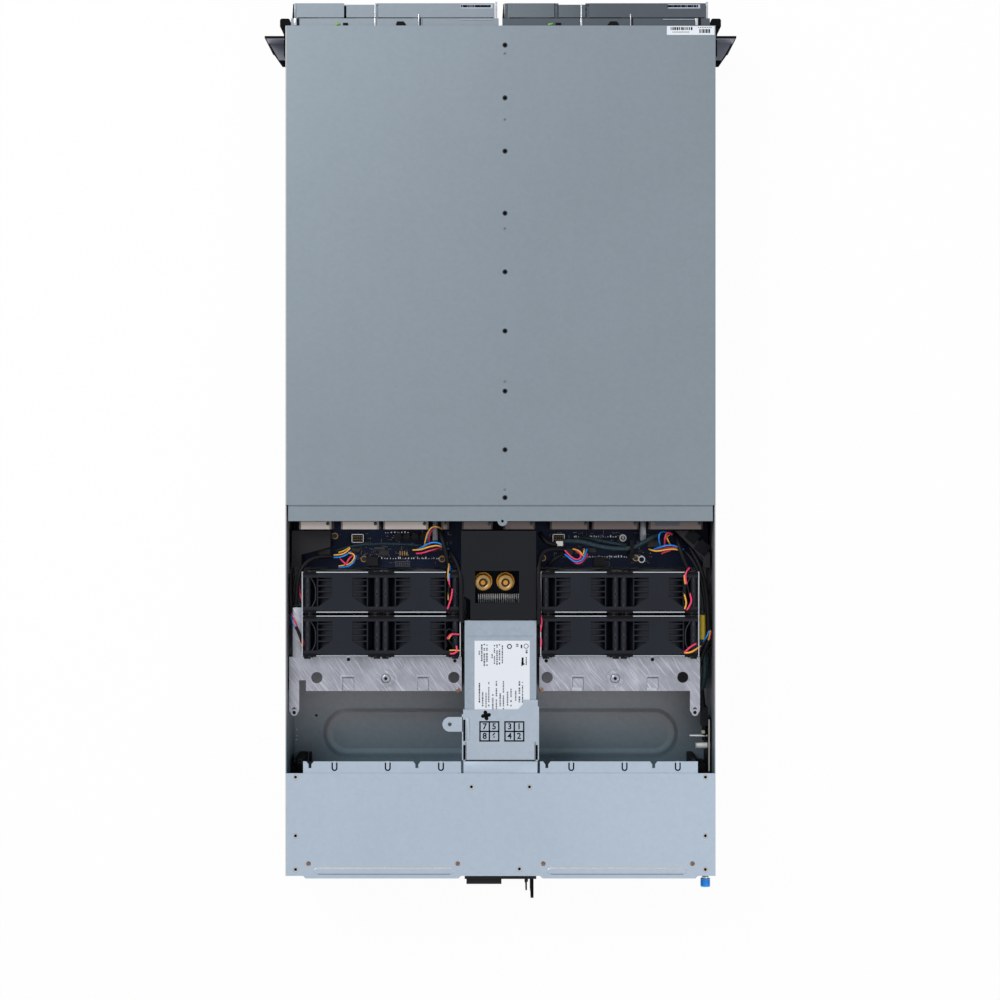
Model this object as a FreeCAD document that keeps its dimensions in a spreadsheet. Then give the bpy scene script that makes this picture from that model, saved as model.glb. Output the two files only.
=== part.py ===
import FreeCAD, Part
import math
import os
import re
import Sketcher

# A 2U rack server with two half-width sleds at the front, a bay of eight fans and two stacked
# power supplies at the rear. Millimetres, +Z up, the front faces -Y, +X is right as seen from the
# front. The origin is at the bottom centre of the whole machine.

Vector = FreeCAD.Vector
X_AXIS = Vector(1, 0, 0)
Y_AXIS = Vector(0, 1, 0)
Z_AXIS = Vector(0, 0, 1)

SIZES = {
    # chassis shell
    "body_width": 440,
    "body_height": 87.5,
    "chassis_length": 870,
    "front_edge": -434.5,
    "steel": 1.2,
    "fit_gap": 0.3,
    "bead_height": 1,
    "bead_radius": 23.4,
    "bead_half_length": 162,
    "bead_station": 733,
    # front cover, stepped down at its rear edge
    "front_cover_length": 490.5,
    "step_length": 16.5,
    "step_drop": 1.6,
    "step_slope": 1.5,
    "cover_flange_height": 8,
    "cover_inset": 1.5,
    "cover_tab_x": -2,
    "cover_tab_radius": 5,
    # rear cover with two slotted lips
    "rear_cover_length": 105,
    "rear_lip_length": 12,
    "lip_overlap": 10,
    "lip_inner": 40.4,
    "lip_outer": 202,
    "lip_slot_pitch": 54.5,
    "lip_slot_radius": 3.1,
    "lip_slot_cut": 1.5,
    "lip_slot_depth": 6.8,
    "lip_edge": 1.2,
    "lip_notch_offset": 45.2,
    "lip_notch_pitch": 109.4,
    "lip_notch_mouth": 9,
    "lip_notch_slope": 3,
    "lip_slot_offset": 20.5,
    "cover_rib_inner": 50.6,
    "cover_rib_outer": 188,
    "cover_rib_width": 6.2,
    "cover_rib_setback": 5,
    "cover_rib_height": 0.5,
    "cover_hem": 2.6,
    # flush screws of the covers
    "screw_line_x": -4.6,
    "screw_head": 2.5,
    "screw_sink": 0.7,
    "screw_gap": 0.2,
    "pin_hole": 1.4,
    # rack ears
    "ear_reach": 21.3,
    "ear_station": 10.7,
    "ear_steel": 2,
    "ear_height": 87.5,
    "ear_strip_end": 30.5,
    "web_tip": 7,
    "ear_head_depth": 8,
    "ear_head_inner": 4.3,
    "ear_head_outer": 6,
    "ear_head_round": 2.2,
    "ear_margin": 4,
    "web_drop": 28,
    "rack_hole_reach": 12.55,
    "rack_hole_rise": 76.2,
    "rack_slot_length": 10,
    "rack_slot_radius": 3.5,
    # wall between the sleds
    "divider_steel": 1.2,
    "divider_flange": 10,
    "divider_length": 488,
    # sleds
    "sled_inner_gap": 1.3,
    "sled_outer_gap": 4.3,
    "sled_steel": 1,
    "sled_top": 84.5,
    "sled_overhang": 23.5,
    "sled_shell_front": 8,
    "sled_length": 503,
    "panel_steel": 1.2,
    "panel_depth": 14.5,
    "panel_setback": 1.5,
    "wide_panel": 119.6,
    "narrow_panel": 29.8,
    "panel_joint": 2.4,
    "panel_end_gap": 5.6,
    "sled_board_front": 110,
    "sled_board_length": 380,
    "sled_board_margin": 8,
    "sled_board_level": 8,
    "board_thick": 1.6,
    "standoff_radius": 3,
    "sink_width": 84,
    "sink_length": 104,
    "sink_base": 8,
    "sink_height": 62,
    "fin_thick": 1.4,
    "fin_count": 12,
    "sink_first": 190,
    "sink_pitch": 140,
    # sled release lever
    "lever_thick": 2,
    "lever_gap": 0.4,
    "lever_pivot_station": -4,
    "lever_pivot_height": 10,
    "lever_rise": 68,
    "lever_reach": 22,
    "lever_foot": 5,
    "lever_pin": 2,
    "pivot_play": 0.08,
    # drive carriers
    "drive_width": 76,
    "drive_height": 16,
    "drive_depth": 100,
    "drive_bezel": 10,
    "drive_gap": 0.4,
    "drive_shelf": 1.2,
    "drive_bay_level": 9,
    "drive_bay_inset": 6,
    "drive_grip_width": 22,
    "drive_grip_depth": 3.5,
    "port_recess": 3.5,
    # power button
    "button_radius": 3,
    "button_proud": 1.2,
    "button_length": 6,
    "button_collar": 1.2,
    "button_level": 70,
    # fans
    "fan_size": 80,
    "fan_depth": 38,
    "fan_gap": 0.9,
    "fan_side_gap": 0.5,
    "cage_steel": 1,
    "cage_centre": 122.3,
    "cage_station": 559,
    "cage_rise": 83.3,
    "cage_row_gap": 3.1,
    "cage_side_rise": 82.5,
    "lead_setback": 3.9,
    "lead_level": 60,
    "lead_hole": 2.8,
    "cage_bore": 37.2,
    "fan_bore": 38,
    "fan_duct": 1.4,
    "fan_flange": 4,
    "fan_post": 3.2,
    "fan_fin": 1.2,
    "fan_rib_start": 6,
    "fan_rib_pitch": 6,
    "fan_rib_fall": 3,
    "fan_flare": 10,
    "fan_flat": 20.4,
    "fan_wall_x": 25,
    "hub_radius": 19,
    "hub_depth": 28,
    "hub_play": 0.3,
    "stator_depth": 4,
    "strut_width": 3,
    "spindle_radius": 2,
    "spindle_length": 14,
    "spindle_play": 0.05,
    "blade_count": 7,
    "blade_tip": 35.4,
    "blade_thick": 1.6,
    "blade_depth": 22,
    "blade_sweep_root": 9,
    "blade_sweep_tip": 15,
    # plates behind the fans
    "plate_steel": 1.5,
    "plate_level": 74,
    "plate_front": 646.9,
    "plate_length": 35,
    "plate_inner": 40,
    "plate_outer_right": 217.5,
    "plate_outer_left": 205.3,
    "plate_leg_width": 10.3,
    "plate_leg_length": 24,
    "plate_hole": 5.8,
    "plate_boss": 9,
    # board behind the sleds
    "board_level": 30,
    "board_station": 505.5,
    "board_length": 50.5,
    "board_side_gap": 1.5,
    "tongue_half": 36,
    "tongue_length": 51,
    "connector_station": 507.5,
    "connector_depth": 8,
    "connector_rise": 46,
    # cover over the power studs
    "shroud_station": 517,
    "shroud_length": 90.9,
    "shroud_right": 40.3,
    "shroud_left": 36.5,
    "shroud_top": 84,
    "shroud_wall": 1.5,
    "shroud_step": 9.5,
    "window_right": 26,
    "window_left": 19,
    "window_station": 558,
    "window_length": 33,
    "post_station": 570.5,
    "post_right": 18,
    "post_pitch": 23.2,
    "post_radius": 8.2,
    "post_rise": 40,
    "post_bore": 4.4,
    "post_stud": 2.4,
    # power supplies and their cage
    "psu_width": 73.5,
    "psu_height": 39,
    "psu_station": 609,
    "psu_length": 265,
    "psu_rear_depth": 15,
    "psu_floor": 2.5,
    "psu_side_gap": 0.5,
    "psu_shelf_gap": 0.4,
    "psu_cage_steel": 1,
    "psu_cage_station": 690.3,
    "psu_cage_notch": 9.8,
    "psu_cage_notch_x": -18,
    "psu_tab_station": 715.3,
    "psu_tab_reach": 52,
    "psu_tab_radius": 7.5,
    "socket_x": 17,
    "collar_border": 4.5,
    "collar_depth": 6,
    "socket_width": 27,
    "socket_height": 20,
    "socket_depth": 12,
    "psu_fan_x": -13.5,
    "psu_fan_radius": 9.5,
    "psu_fan_depth": 6,
    "bail_x": -32.5,
    "bail_thick": 3,
    "bail_reach": 21,
    "bail_margin": 5,
    "latch_x": -26.5,
    "latch_station": 2.2,
    "latch_pin": 0.8,
    "latch_barrel": 1.8,
    "latch_plate": 1.6,
    "latch_reach": 11,
    "latch_margin": 9,
    # rear wall and management module
    "window_inner": 52,
    "window_outer": 192,
    "window_low": 9,
    "window_high": 77,
    "grille_border": 4,
    "grille_steel": 1,
    "grille_pitch": 13,
    "grille_web": 2,
    "module_gap": 2.2,
    "module_station": 712,
    "module_low": 10,
    "module_rise": 52,
    "port_width": 14,
    "port_height": 13,
    "port_depth": 22,
    "port_low": 16,
    "port_pitch": 18,
    "port_mouth": 12,
    "port_lip": 2,
    "port_wall": 1.5,
    "knob_gap": 9,
    "knob_level": 71,
    "knob_radius": 4.9,
    "knob_length": 8.4,
    "knob_neck": 5,
    "knob_neck_radius": 3.2,
    "knob_shaft": 1.9,
    # cables
    "sleeve_radius": 2.4,
    "lead_radius": 1.5,
    "cable_radius": 2.6,
}

doc = FreeCAD.newDocument("rack_server")
sheet = doc.addObject("Spreadsheet::Sheet", "Sizes")
for row, (alias, size) in enumerate(SIZES.items(), 1):
    sheet.set("A%d" % row, alias)
    sheet.set("B%d" % row, str(size))
    sheet.setAlias("B%d" % row, alias)
doc.recompute()

NODES = {}


# ---------------------------------------------------------------- expressions

def bind(text):
    """Write the sheet's name before each of its aliases in an expression."""
    def full(match):
        word = match.group()
        return "Sizes." + word if word in SIZES else word
    return re.sub(r"[a-z][a-z0-9_]*", full, str(text))


def value(text):
    """The number that an expression of the sheet's aliases gives."""
    return float(sheet.evalExpression(bind(text)))


def station(text):
    """The Y of a place measured backwards from the front cover's front edge."""
    return "(front_edge + (%s))" % text


HALF = "(body_width / 2)"
INNER = "(body_width / 2 - steel)"
SHELL_TOP = "(body_height - steel)"
REAR = station("chassis_length")
SLED_HALF = "((body_width / 2 - steel - divider_steel / 2 - sled_inner_gap - sled_outer_gap) / 2)"
BAY_CENTRE = "(divider_steel / 2 + sled_inner_gap + %s)" % SLED_HALF
SLED_FLOOR = "(steel + fit_gap)"


# ---------------------------------------------------------------- outlines

def rect(x0, y0, x1, y1):
    return ("poly", [(x0, y0), (x1, y0), (x1, y1), (x0, y1)])


def poly(*points):
    return ("poly", points)


def circle(x, y, radius):
    return ("circle", (x, y, radius))


def slot(x0, y0, x1, y1, radius):
    """A round-ended slot between two centres on a line along X or Y."""
    return ("slot", (x0, y0, x1, y1, radius))


class Piece:
    """One sheet-metal or moulded sub-part, a body of pads and pockets on its own origin planes."""

    def __init__(self, label):
        self.body = doc.addObject("PartDesign::Body", label)
        self.body.Label = label

    def origin(self, role):
        return [item for item in self.body.Origin.OriginFeatures if item.Role == role][0]

    def sketch(self, plane, at, outlines):
        sketch = self.body.newObject("Sketcher::SketchObject", self.body.Name + "_sketch")
        sketch.AttachmentSupport = [(self.origin(plane + "_Plane"), "")]
        sketch.MapMode = "FlatFace"
        flip = "-" if plane == "XZ" else ""
        sketch.setExpression("AttachmentOffset.Base.z", bind("%s(%s)" % (flip, at)))
        for kind, data in outlines:
            getattr(self, "draw_" + kind)(sketch, data)
        return sketch

    def fix(self, sketch, item, point, x, y):
        for kind, text in (("DistanceX", x), ("DistanceY", y)):
            index = sketch.addConstraint(Sketcher.Constraint(kind, -1, 1, item, point, value(text)))
            sketch.setExpression("Constraints[%d]" % index, bind(text))

    def draw_poly(self, sketch, points):
        spots = [Vector(value(x), value(y), 0) for x, y in points]
        count = len(spots)
        lines = []
        for index in range(count):
            side = Part.LineSegment(spots[index], spots[(index + 1) % count])
            lines.append(sketch.addGeometry(side, False))
        for index in range(count):
            follower = lines[(index + 1) % count]
            sketch.addConstraint(Sketcher.Constraint("Coincident", lines[index], 2, follower, 1))
            self.fix(sketch, lines[index], 1, *points[index])

    def draw_circle(self, sketch, data):
        x, y, radius = data
        ring = Part.Circle(Vector(value(x), value(y), 0), Z_AXIS, value(radius))
        item = sketch.addGeometry(ring, False)
        self.fix(sketch, item, 3, x, y)
        index = sketch.addConstraint(Sketcher.Constraint("Radius", item, value(radius)))
        sketch.setExpression("Constraints[%d]" % index, bind(radius))

    def draw_slot(self, sketch, data):
        x0, y0, x1, y1, radius = data
        start = Vector(value(x0), value(y0), 0)
        end = Vector(value(x1), value(y1), 0)
        size = value(radius)
        turn = math.atan2(end.y - start.y, end.x - start.x)
        side = Vector(-math.sin(turn), math.cos(turn), 0) * size
        near = Part.ArcOfCircle(Part.Circle(start, Z_AXIS, size), turn + math.pi / 2, turn + math.pi * 1.5)
        far = Part.ArcOfCircle(Part.Circle(end, Z_AXIS, size), turn - math.pi / 2, turn + math.pi / 2)
        first = sketch.addGeometry(near, False)
        lower = sketch.addGeometry(Part.LineSegment(start - side, end - side), False)
        last = sketch.addGeometry(far, False)
        upper = sketch.addGeometry(Part.LineSegment(end + side, start + side), False)
        for one, one_end, two, two_end in ((first, 2, lower, 1), (lower, 2, last, 1),
                                           (last, 2, upper, 1), (upper, 2, first, 1)):
            sketch.addConstraint(Sketcher.Constraint("Tangent", one, one_end, two, two_end))
        self.fix(sketch, first, 3, x0, y0)
        self.fix(sketch, last, 3, x1, y1)
        index = sketch.addConstraint(Sketcher.Constraint("Radius", first, size))
        sketch.setExpression("Constraints[%d]" % index, bind(radius))

    def pad(self, plane, start, end, *outlines):
        """Material between two places along the plane's normal."""
        sketch = self.sketch(plane, start, outlines)
        feature = self.body.newObject("PartDesign::Pad", self.body.Name + "_pad")
        feature.Profile = sketch
        feature.Reversed = plane == "XZ"
        feature.setExpression("Length", bind("(%s) - (%s)" % (end, start)))
        return feature

    def cut(self, plane, start, end, *outlines):
        """A pocket between two places along the plane's normal."""
        sketch = self.sketch(plane, start, outlines)
        feature = self.body.newObject("PartDesign::Pocket", self.body.Name + "_pocket")
        feature.Profile = sketch
        feature.Reversed = plane != "XZ"
        feature.setExpression("Length", bind("(%s) - (%s)" % (end, start)))
        return feature

    def repeat(self, feature, axis, length, count):
        """A row of one feature along an axis of the body."""
        pattern = self.body.newObject("PartDesign::LinearPattern", self.body.Name + "_row")
        pattern.Originals = [feature]
        pattern.Direction = (self.origin(axis + "_Axis"), [""])
        pattern.setExpression("Length", bind(length))
        pattern.setExpression("Occurrences", bind(count))
        self.body.Tip = pattern
        return pattern

    def around(self, feature, axis, count):
        """A ring of one feature about an axis of the body."""
        pattern = self.body.newObject("PartDesign::PolarPattern", self.body.Name + "_ring")
        pattern.Originals = [feature]
        pattern.Axis = (self.origin(axis + "_Axis"), [""])
        pattern.Angle = 360
        pattern.setExpression("Occurrences", bind(count))
        self.body.Tip = pattern
        return pattern

    def move(self, x="0", y="0", z="0"):
        place(self.body, x, y, z)

    def done(self):
        NODES[self.body.Label] = self.body
        return self.body


# ---------------------------------------------------------------- solids and groups

def place(item, x="0", y="0", z="0"):
    for axis, text in zip("xyz", (x, y, z)):
        item.setExpression("Placement.Base." + axis, bind(text))
    return item


def block(name, x0, x1, y0, y1, z0, z1):
    box = doc.addObject("Part::Box", name)
    for side, low, high in (("Length", x0, x1), ("Width", y0, y1), ("Height", z0, z1)):
        box.setExpression(side, bind("(%s) - (%s)" % (high, low)))
    return place(box, x0, y0, z0)


def rod(name, axis, x, y, z, radius, length):
    """A cylinder from a point along +X, +Y or +Z."""
    cylinder = doc.addObject("Part::Cylinder", name)
    cylinder.Placement.Rotation = FreeCAD.Rotation(Z_AXIS, axis)
    cylinder.setExpression("Radius", bind(radius))
    cylinder.setExpression("Height", bind(length))
    return place(cylinder, x, y, z)


def copy(name, source, x="0", y="0", z="0"):
    link = doc.addObject("App::Link", name)
    link.LinkedObject = source
    return place(link, x, y, z)


def without(name, base, tools):
    """A solid with other solids taken out of it."""
    cut = doc.addObject("Part::Cut", name)
    cut.Base = base
    cut.Tool = tools[0] if len(tools) == 1 else joined(name + "_tools", tools)
    return cut


def joined(name, solids):
    fusion = doc.addObject("Part::MultiFuse", name)
    fusion.Shapes = solids
    return fusion


def node(label, solids):
    """A sub-part made of several separate solids, or of one."""
    if len(solids) == 1:
        solids[0].Label = label
        NODES[label] = solids[0]
        return solids[0]
    group = doc.addObject("Part::Compound", label)
    group.Label = label
    group.Links = solids
    NODES[label] = group
    return group


def shaped(label, shape):
    """A sub-part whose form needs Part's own functions."""
    item = doc.addObject("Part::Feature", label)
    item.Label = label
    item.Shape = shape
    item.Placement = FreeCAD.Placement()
    NODES[label] = item
    return item


def tube(points, radius):
    """A round cable along straight runs joined by tangent arcs, and its tightest radius."""
    spots = [Vector(*point) for point in points]
    edges = []
    start = spots[0]
    tightest = 1000.0
    for before, corner, after in zip(spots, spots[1:], spots[2:]):
        back = before - corner
        ahead = after - corner
        half_turn = (math.pi - back.getAngle(ahead)) / 2
        reach = 0.45 * min(back.Length, ahead.Length)
        tightest = min(tightest, reach / math.tan(half_turn))
        entry = corner + back.normalize() * reach
        leave = corner + ahead.normalize() * reach
        bend = reach / math.tan(half_turn)
        centre_line = (back + ahead).normalize()
        middle = corner + centre_line * (bend / math.cos(half_turn) - bend)
        edges.append(Part.LineSegment(start, entry).toShape())
        edges.append(Part.Arc(entry, middle, leave).toShape())
        start = leave
    edges.append(Part.LineSegment(start, spots[-1]).toShape())
    path = Part.Wire(edges)
    profile = Part.Wire(Part.makeCircle(radius, spots[0], spots[1] - spots[0]))
    solid = path.makePipeShell([profile], True, False)
    full = math.pi * radius ** 2 * path.Length
    print("cable: tightest radius %.1f, volume share %.4f" % (tightest, solid.Volume / full))
    return solid


# ---------------------------------------------------------------- chassis and covers

STANDOFFS = (("173.5", "523"), ("61.3", "547"), ("-44.6", "546"), ("-128.4", "525"))


# how far a pressed bead or rib leans in from upright
BEAD_TAPER = -65
RIB_TAPER = -60
MODULE_X = "(module_gap + board_thick - %s)" % INNER
KNOB_X = "(knob_gap - %s)" % HALF


def chassis_tray():
    """The bent floor and side walls, the welded rear wall and the floor's stiffening bead."""
    tray = Piece("chassis_tray")
    tray.pad("XZ", "front_edge", REAR, poly(
        ("-" + HALF, "0"), (HALF, "0"), (HALF, SHELL_TOP), (INNER, SHELL_TOP), (INNER, "steel"),
        ("-" + INNER, "steel"), ("-" + INNER, SHELL_TOP), ("-" + HALF, SHELL_TOP)))
    tray.pad("XZ", REAR + " - steel", REAR, rect("-" + INNER, "steel", INNER, SHELL_TOP))
    bead_y = station("bead_station")
    ends = ("-bead_half_length", bead_y, "bead_half_length", bead_y)
    bead = tray.pad("XY", "steel", "steel + bead_height", slot(*ends, "bead_radius"))
    bead.TaperAngle = BEAD_TAPER
    tray.cut("XY", "0", "bead_height", slot(*ends, "bead_radius - steel"))
    opening = "(psu_width / 2 + psu_side_gap + psu_cage_steel)"
    tray.cut("XZ", REAR + " - steel", REAR,
             rect("window_inner", "window_low", "window_outer", "window_high"),
             rect("-window_inner", "window_low", "-window_outer", "window_high"),
             rect("-" + opening, "steel", opening, "psu_floor + 2 * psu_height + 4"),
             rect(MODULE_X + " + fit_gap", "port_low - 2", MODULE_X + " + port_width + 2",
                  "port_low + 2 * port_pitch"),
             circle(KNOB_X, "knob_level", "knob_shaft + pivot_play"))
    tray.pad("XZ", REAR, REAR + " + knob_neck - fit_gap",
             circle(KNOB_X, "knob_level", "knob_neck_radius"),
             circle(KNOB_X, "knob_level", "knob_shaft + pivot_play"))
    tray.pad("XY", "steel", "board_level",
             *[circle(x, station(y), "standoff_radius") for x, y in STANDOFFS])
    tray.done()


def centre_divider():
    """The wall between the sleds, bent over at the top to take the cover's screws."""
    wall = Piece("centre_divider")
    side = "(divider_steel / 2)"
    wall.pad("XZ", station("fit_gap"), station("divider_length"), poly(
        ("-" + side, "steel"), (side, "steel"), (side, SHELL_TOP),
        ("-divider_flange", SHELL_TOP), ("-divider_flange", SHELL_TOP + " - divider_steel"),
        ("-" + side, SHELL_TOP + " - divider_steel")))
    wall.done()


def along_cover(shares):
    """Places on the cover's screw line, as percentages of its length."""
    return [("screw_line_x", "front_cover_length * %s / 100" % share) for share in shares]


FRONT_SCREWS = along_cover((4.08, 15.09, 26.2, 39.14, 51.38, 63.71, 76.25, 88.48, 98.47))
FRONT_PINS = along_cover((5.91, 19.67, 42.41, 74.31, 96.84))


def front_top_cover():
    """The long front cover, stepped down at the rear so that the middle cover can lap over it."""
    cover = Piece("front_top_cover")
    end = station("front_cover_length")
    reach = "(body_width / 2 - steel - cover_inset)"
    cover.pad("XY", SHELL_TOP, "body_height", rect("-" + HALF, "front_edge", HALF, end))
    drop = "(body_height - step_drop)"
    cover.pad("YZ", "-" + reach, reach, poly(
        (end, "body_height"), (end + " + step_slope", drop), (end + " + step_length", drop),
        (end + " + step_length", drop + " - steel"), (end + " + step_slope / 2", drop + " - steel"),
        (end, SHELL_TOP)))
    cover.pad("XZ", station("8"), end,
              rect("-" + reach, SHELL_TOP, "-%s + steel" % reach, SHELL_TOP + " - cover_flange_height"),
              rect(reach, SHELL_TOP, reach + " - steel", SHELL_TOP + " - cover_flange_height"))
    cover.pad("XY", drop + " - steel", drop,
              circle("cover_tab_x", end + " + step_length", "cover_tab_radius"))
    cover.cut("XY", drop + " - steel", drop, circle("cover_tab_x", end + " + step_length", "pin_hole"))
    cover.cut("XY", "body_height - screw_sink", "body_height",
              *[circle(x, station(y), "screw_head + screw_gap") for x, y in FRONT_SCREWS])
    cover.cut("XY", SHELL_TOP, "body_height", *[circle(x, station(y), "pin_hole") for x, y in FRONT_PINS])
    cover.done()


REAR_SCREWS = [("%s(%s - 10.3)" % (side, HALF), "chassis_length - " + row)
               for side in ("", "-") for row in ("101", "41", "6.5")]
REAR_SCREWS += [("29.7", "chassis_length - 91"), ("-29.7", "chassis_length - 91"),
                ("-19.4", "chassis_length - 7")]
REAR_SCREWS += [(x, "chassis_length - 12.5") for x in ("196.4", "43.8", "-43.8", "-196.4")]


def rear_top_cover():
    """The short rear cover, with slotted lips that the middle cover's tabs slide into."""
    cover = Piece("rear_top_cover")
    front = "(%s - rear_cover_length)" % REAR
    reach = "(body_width / 2 - steel - cover_inset)"
    cover.pad("XY", SHELL_TOP, "body_height", rect("-" + HALF, front, HALF, REAR))
    cover.pad("XY", SHELL_TOP + " - steel", SHELL_TOP,
              rect("lip_inner", front + " - rear_lip_length", "lip_outer", front + " + lip_overlap"),
              rect("-lip_inner", front + " - rear_lip_length", "-lip_outer", front + " + lip_overlap"))
    cover.pad("XZ", front + " + lip_overlap", REAR + " - steel - fit_gap",
              rect("-" + reach, SHELL_TOP, "-%s + steel" % reach, SHELL_TOP + " - cover_flange_height"),
              rect(reach, SHELL_TOP, reach + " - steel", SHELL_TOP + " - cover_flange_height"))
    hem = REAR + " + cover_hem"
    cover.pad("XY", SHELL_TOP, "body_height", *[poly(
        (side + "lip_inner", REAR), (side + "lip_outer", REAR), (side + "(lip_outer - cover_hem)", hem),
        (side + "(lip_inner + cover_hem)", hem)) for side in ("", "-")])
    rib_y = REAR + " - cover_rib_setback"
    rib = cover.pad("XY", "body_height", "body_height + cover_rib_height", *[
        slot(side + "cover_rib_inner", rib_y, side + "cover_rib_outer", rib_y, "cover_rib_width / 2")
        for side in ("", "-")])
    rib.TaperAngle = RIB_TAPER
    under = SHELL_TOP + " - steel"
    lip_front = front + " - rear_lip_length"
    bottom = lip_front + " + lip_slot_depth"
    places = ["%s + lip_slot_offset + %d * lip_slot_pitch" % (base, step)
              for base in ("lip_inner", "-lip_outer") for step in range(3)]
    tongue = "(lip_slot_radius - lip_slot_cut)"
    cover.cut("XY", under, SHELL_TOP, *[
        rect(x + " - lip_slot_radius", lip_front + " + lip_edge", x + " + lip_slot_radius", bottom)
        for x in places])
    cover.cut("XY", under, SHELL_TOP, *[circle(x, bottom, "lip_slot_radius") for x in places])
    cover.pad("XY", under, SHELL_TOP,
              *[slot(x, lip_front + " + lip_edge", x, bottom, tongue) for x in places])
    notches = []
    for base in ("lip_inner", "-lip_outer"):
        for step in range(2):
            x = "%s + lip_notch_offset + %d * lip_notch_pitch" % (base, step)
            mouth = "lip_notch_mouth / 2"
            narrow = "lip_slot_cut"
            notches.append(poly(
                ("%s - %s" % (x, mouth), lip_front + " - 1"), ("%s + %s" % (x, mouth), lip_front + " - 1"),
                ("%s + %s" % (x, narrow), lip_front + " + lip_notch_slope"), ("%s + %s" % (x, narrow), bottom),
                ("%s - %s" % (x, narrow), bottom), ("%s - %s" % (x, narrow), lip_front + " + lip_notch_slope")))
    cover.cut("XY", under, SHELL_TOP, *notches)
    cover.cut("XY", "body_height - screw_sink", "body_height",
              *[circle(x, station(y), "screw_head + screw_gap") for x, y in REAR_SCREWS])
    cover.done()


def cover_screws():
    """The flush screw heads of both covers."""
    heads = []
    for number, (x, y) in enumerate(FRONT_SCREWS + REAR_SCREWS):
        heads.append(rod("screw_%d" % number, Z_AXIS, x, station(y), "body_height - screw_sink",
                         "screw_head", "screw_sink"))
    node("cover_screws", heads)


def rack_ear(label, side):
    """A front flange with slotted holes, its side strip, two gussets and the moulded head."""
    ear = Piece(label)
    face = station("ear_station")
    back = station("ear_station + ear_steel")
    strip = "%s(%s + ear_steel)" % (side, HALF)
    rim = "%s(%s + ear_reach)" % (side, HALF)
    wall = side + HALF
    ear.pad("XZ", face, back, rect(wall, "0", rim, "ear_height"))
    ear.pad("XY", "ear_margin", "ear_height - ear_margin",
            rect(wall, station("-ear_head_depth"), strip, station("ear_strip_end")))
    web_end = station("ear_strip_end")
    web = poly((strip, back), (rim, back), ("%s(%s + ear_steel + web_tip)" % (side, HALF), web_end),
               (strip, web_end))
    ear.pad("XY", "ear_height - web_drop", "ear_height - web_drop + ear_steel", web)
    ear.pad("XY", "web_drop - ear_steel", "web_drop", web)
    ear.pad("XY", "ear_margin", "ear_height - ear_margin",
            rect("%s(%s - ear_head_inner)" % (side, HALF), station("-ear_head_depth"),
                 "%s(%s + ear_head_outer)" % (side, HALF), "front_edge"))
    middle = "ear_height / 2"
    reach = "(rack_slot_length / 2 - rack_slot_radius)"
    centre = "%s(%s + rack_hole_reach)" % (side, HALF)
    levels = ["%s %s rack_hole_rise / 2" % (middle, end) for end in "-+"]
    slots = ear.cut("XZ", face, back, *[
        slot("%s - %s" % (centre, reach), level, "%s + %s" % (centre, reach), level, "rack_slot_radius")
        for level in levels])
    doc.recompute()
    tall = [index for index, edge in enumerate(slots.Shape.Edges, 1)
            if abs(edge.BoundBox.YMax - value(station("-ear_head_depth"))) < 0.01
            and edge.BoundBox.ZLength > value("ear_height / 2")]
    rounding = ear.body.newObject("PartDesign::Fillet", label + "_round")
    rounding.Base = (slots, ["Edge%d" % index for index in tall])
    rounding.setExpression("Radius", bind("ear_head_round"))
    ear.body.Tip = rounding
    ear.done()


# ---------------------------------------------------------------- board, connectors and shroud

def power_board():
    """The board across the chassis behind the sleds, with a tongue back to the power supplies."""
    board = Piece("power_board")
    edge = "(%s - board_side_gap)" % INNER
    rear = station("board_station + board_length")
    board.pad("XY", "board_level", "board_level + board_thick", poly(
        ("-" + edge, station("board_station")), (edge, station("board_station")), (edge, rear),
        ("tongue_half", rear), ("tongue_half", rear + " + tongue_length"),
        ("-tongue_half", rear + " + tongue_length"), ("-tongue_half", rear), ("-" + edge, rear)))
    board.cut("XY", "board_level", "board_level + board_thick",
              *[circle(x, station(y), "standoff_radius / 2") for x, y in STANDOFFS])
    board.done()


BOARD_TOP = "(board_level + board_thick)"
CONNECTORS = ((174, 207), (125, 164), (74.5, 120.5), (53, 61), (8, 39.5), (-35.5, -3), (-91, -51),
              (-142, -94), (-208, -152.5))


def sled_connectors():
    """The row of blocks that the sleds plug into."""
    solids = []
    for number, (low, high) in enumerate(CONNECTORS):
        base = block("connector_%d" % number, str(low), str(high), station("connector_station"),
                     station("connector_station + connector_depth"), BOARD_TOP,
                     BOARD_TOP + " + connector_rise")
        edges = doc.addObject("Part::Chamfer", "connector_edge_%d" % number)
        edges.Base = base
        edges.Edges = [(2, 2.0, 2.0), (6, 2.0, 2.0)]
        solids.append(edges)
    node("sled_connectors", solids)


def board_parts():
    """Headers, capacitors and the power supplies' sockets that stand on the board."""
    solids = []
    for number, (x, y) in enumerate((("143", "521"), ("-67", "521"), ("128", "545"), ("-110", "545"))):
        solids.append(block("header_%d" % number, x, x + " + 12.5", station(y), station(y + " + 9"),
                            BOARD_TOP, BOARD_TOP + " + 8"))
    for number in range(4):
        solids.append(rod("capacitor_%d" % number, Z_AXIS, "80 + %d" % (number * 9), station("524"),
                          BOARD_TOP, "3.8", "11"))
    for number in range(7):
        x = "-22 + %d" % (number * 6)
        solids.append(block("tooth_%d" % number, x, x + " + 4.2", station("584"), station("592"),
                            BOARD_TOP, BOARD_TOP + " + 9"))
    for number, x in enumerate(("-32", "2")):
        solids.append(block("psu_socket_%d" % number, x, x + " + 26", station("596"), station("606"),
                            BOARD_TOP, BOARD_TOP + " + 12"))
    node("board_parts", solids)


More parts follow.
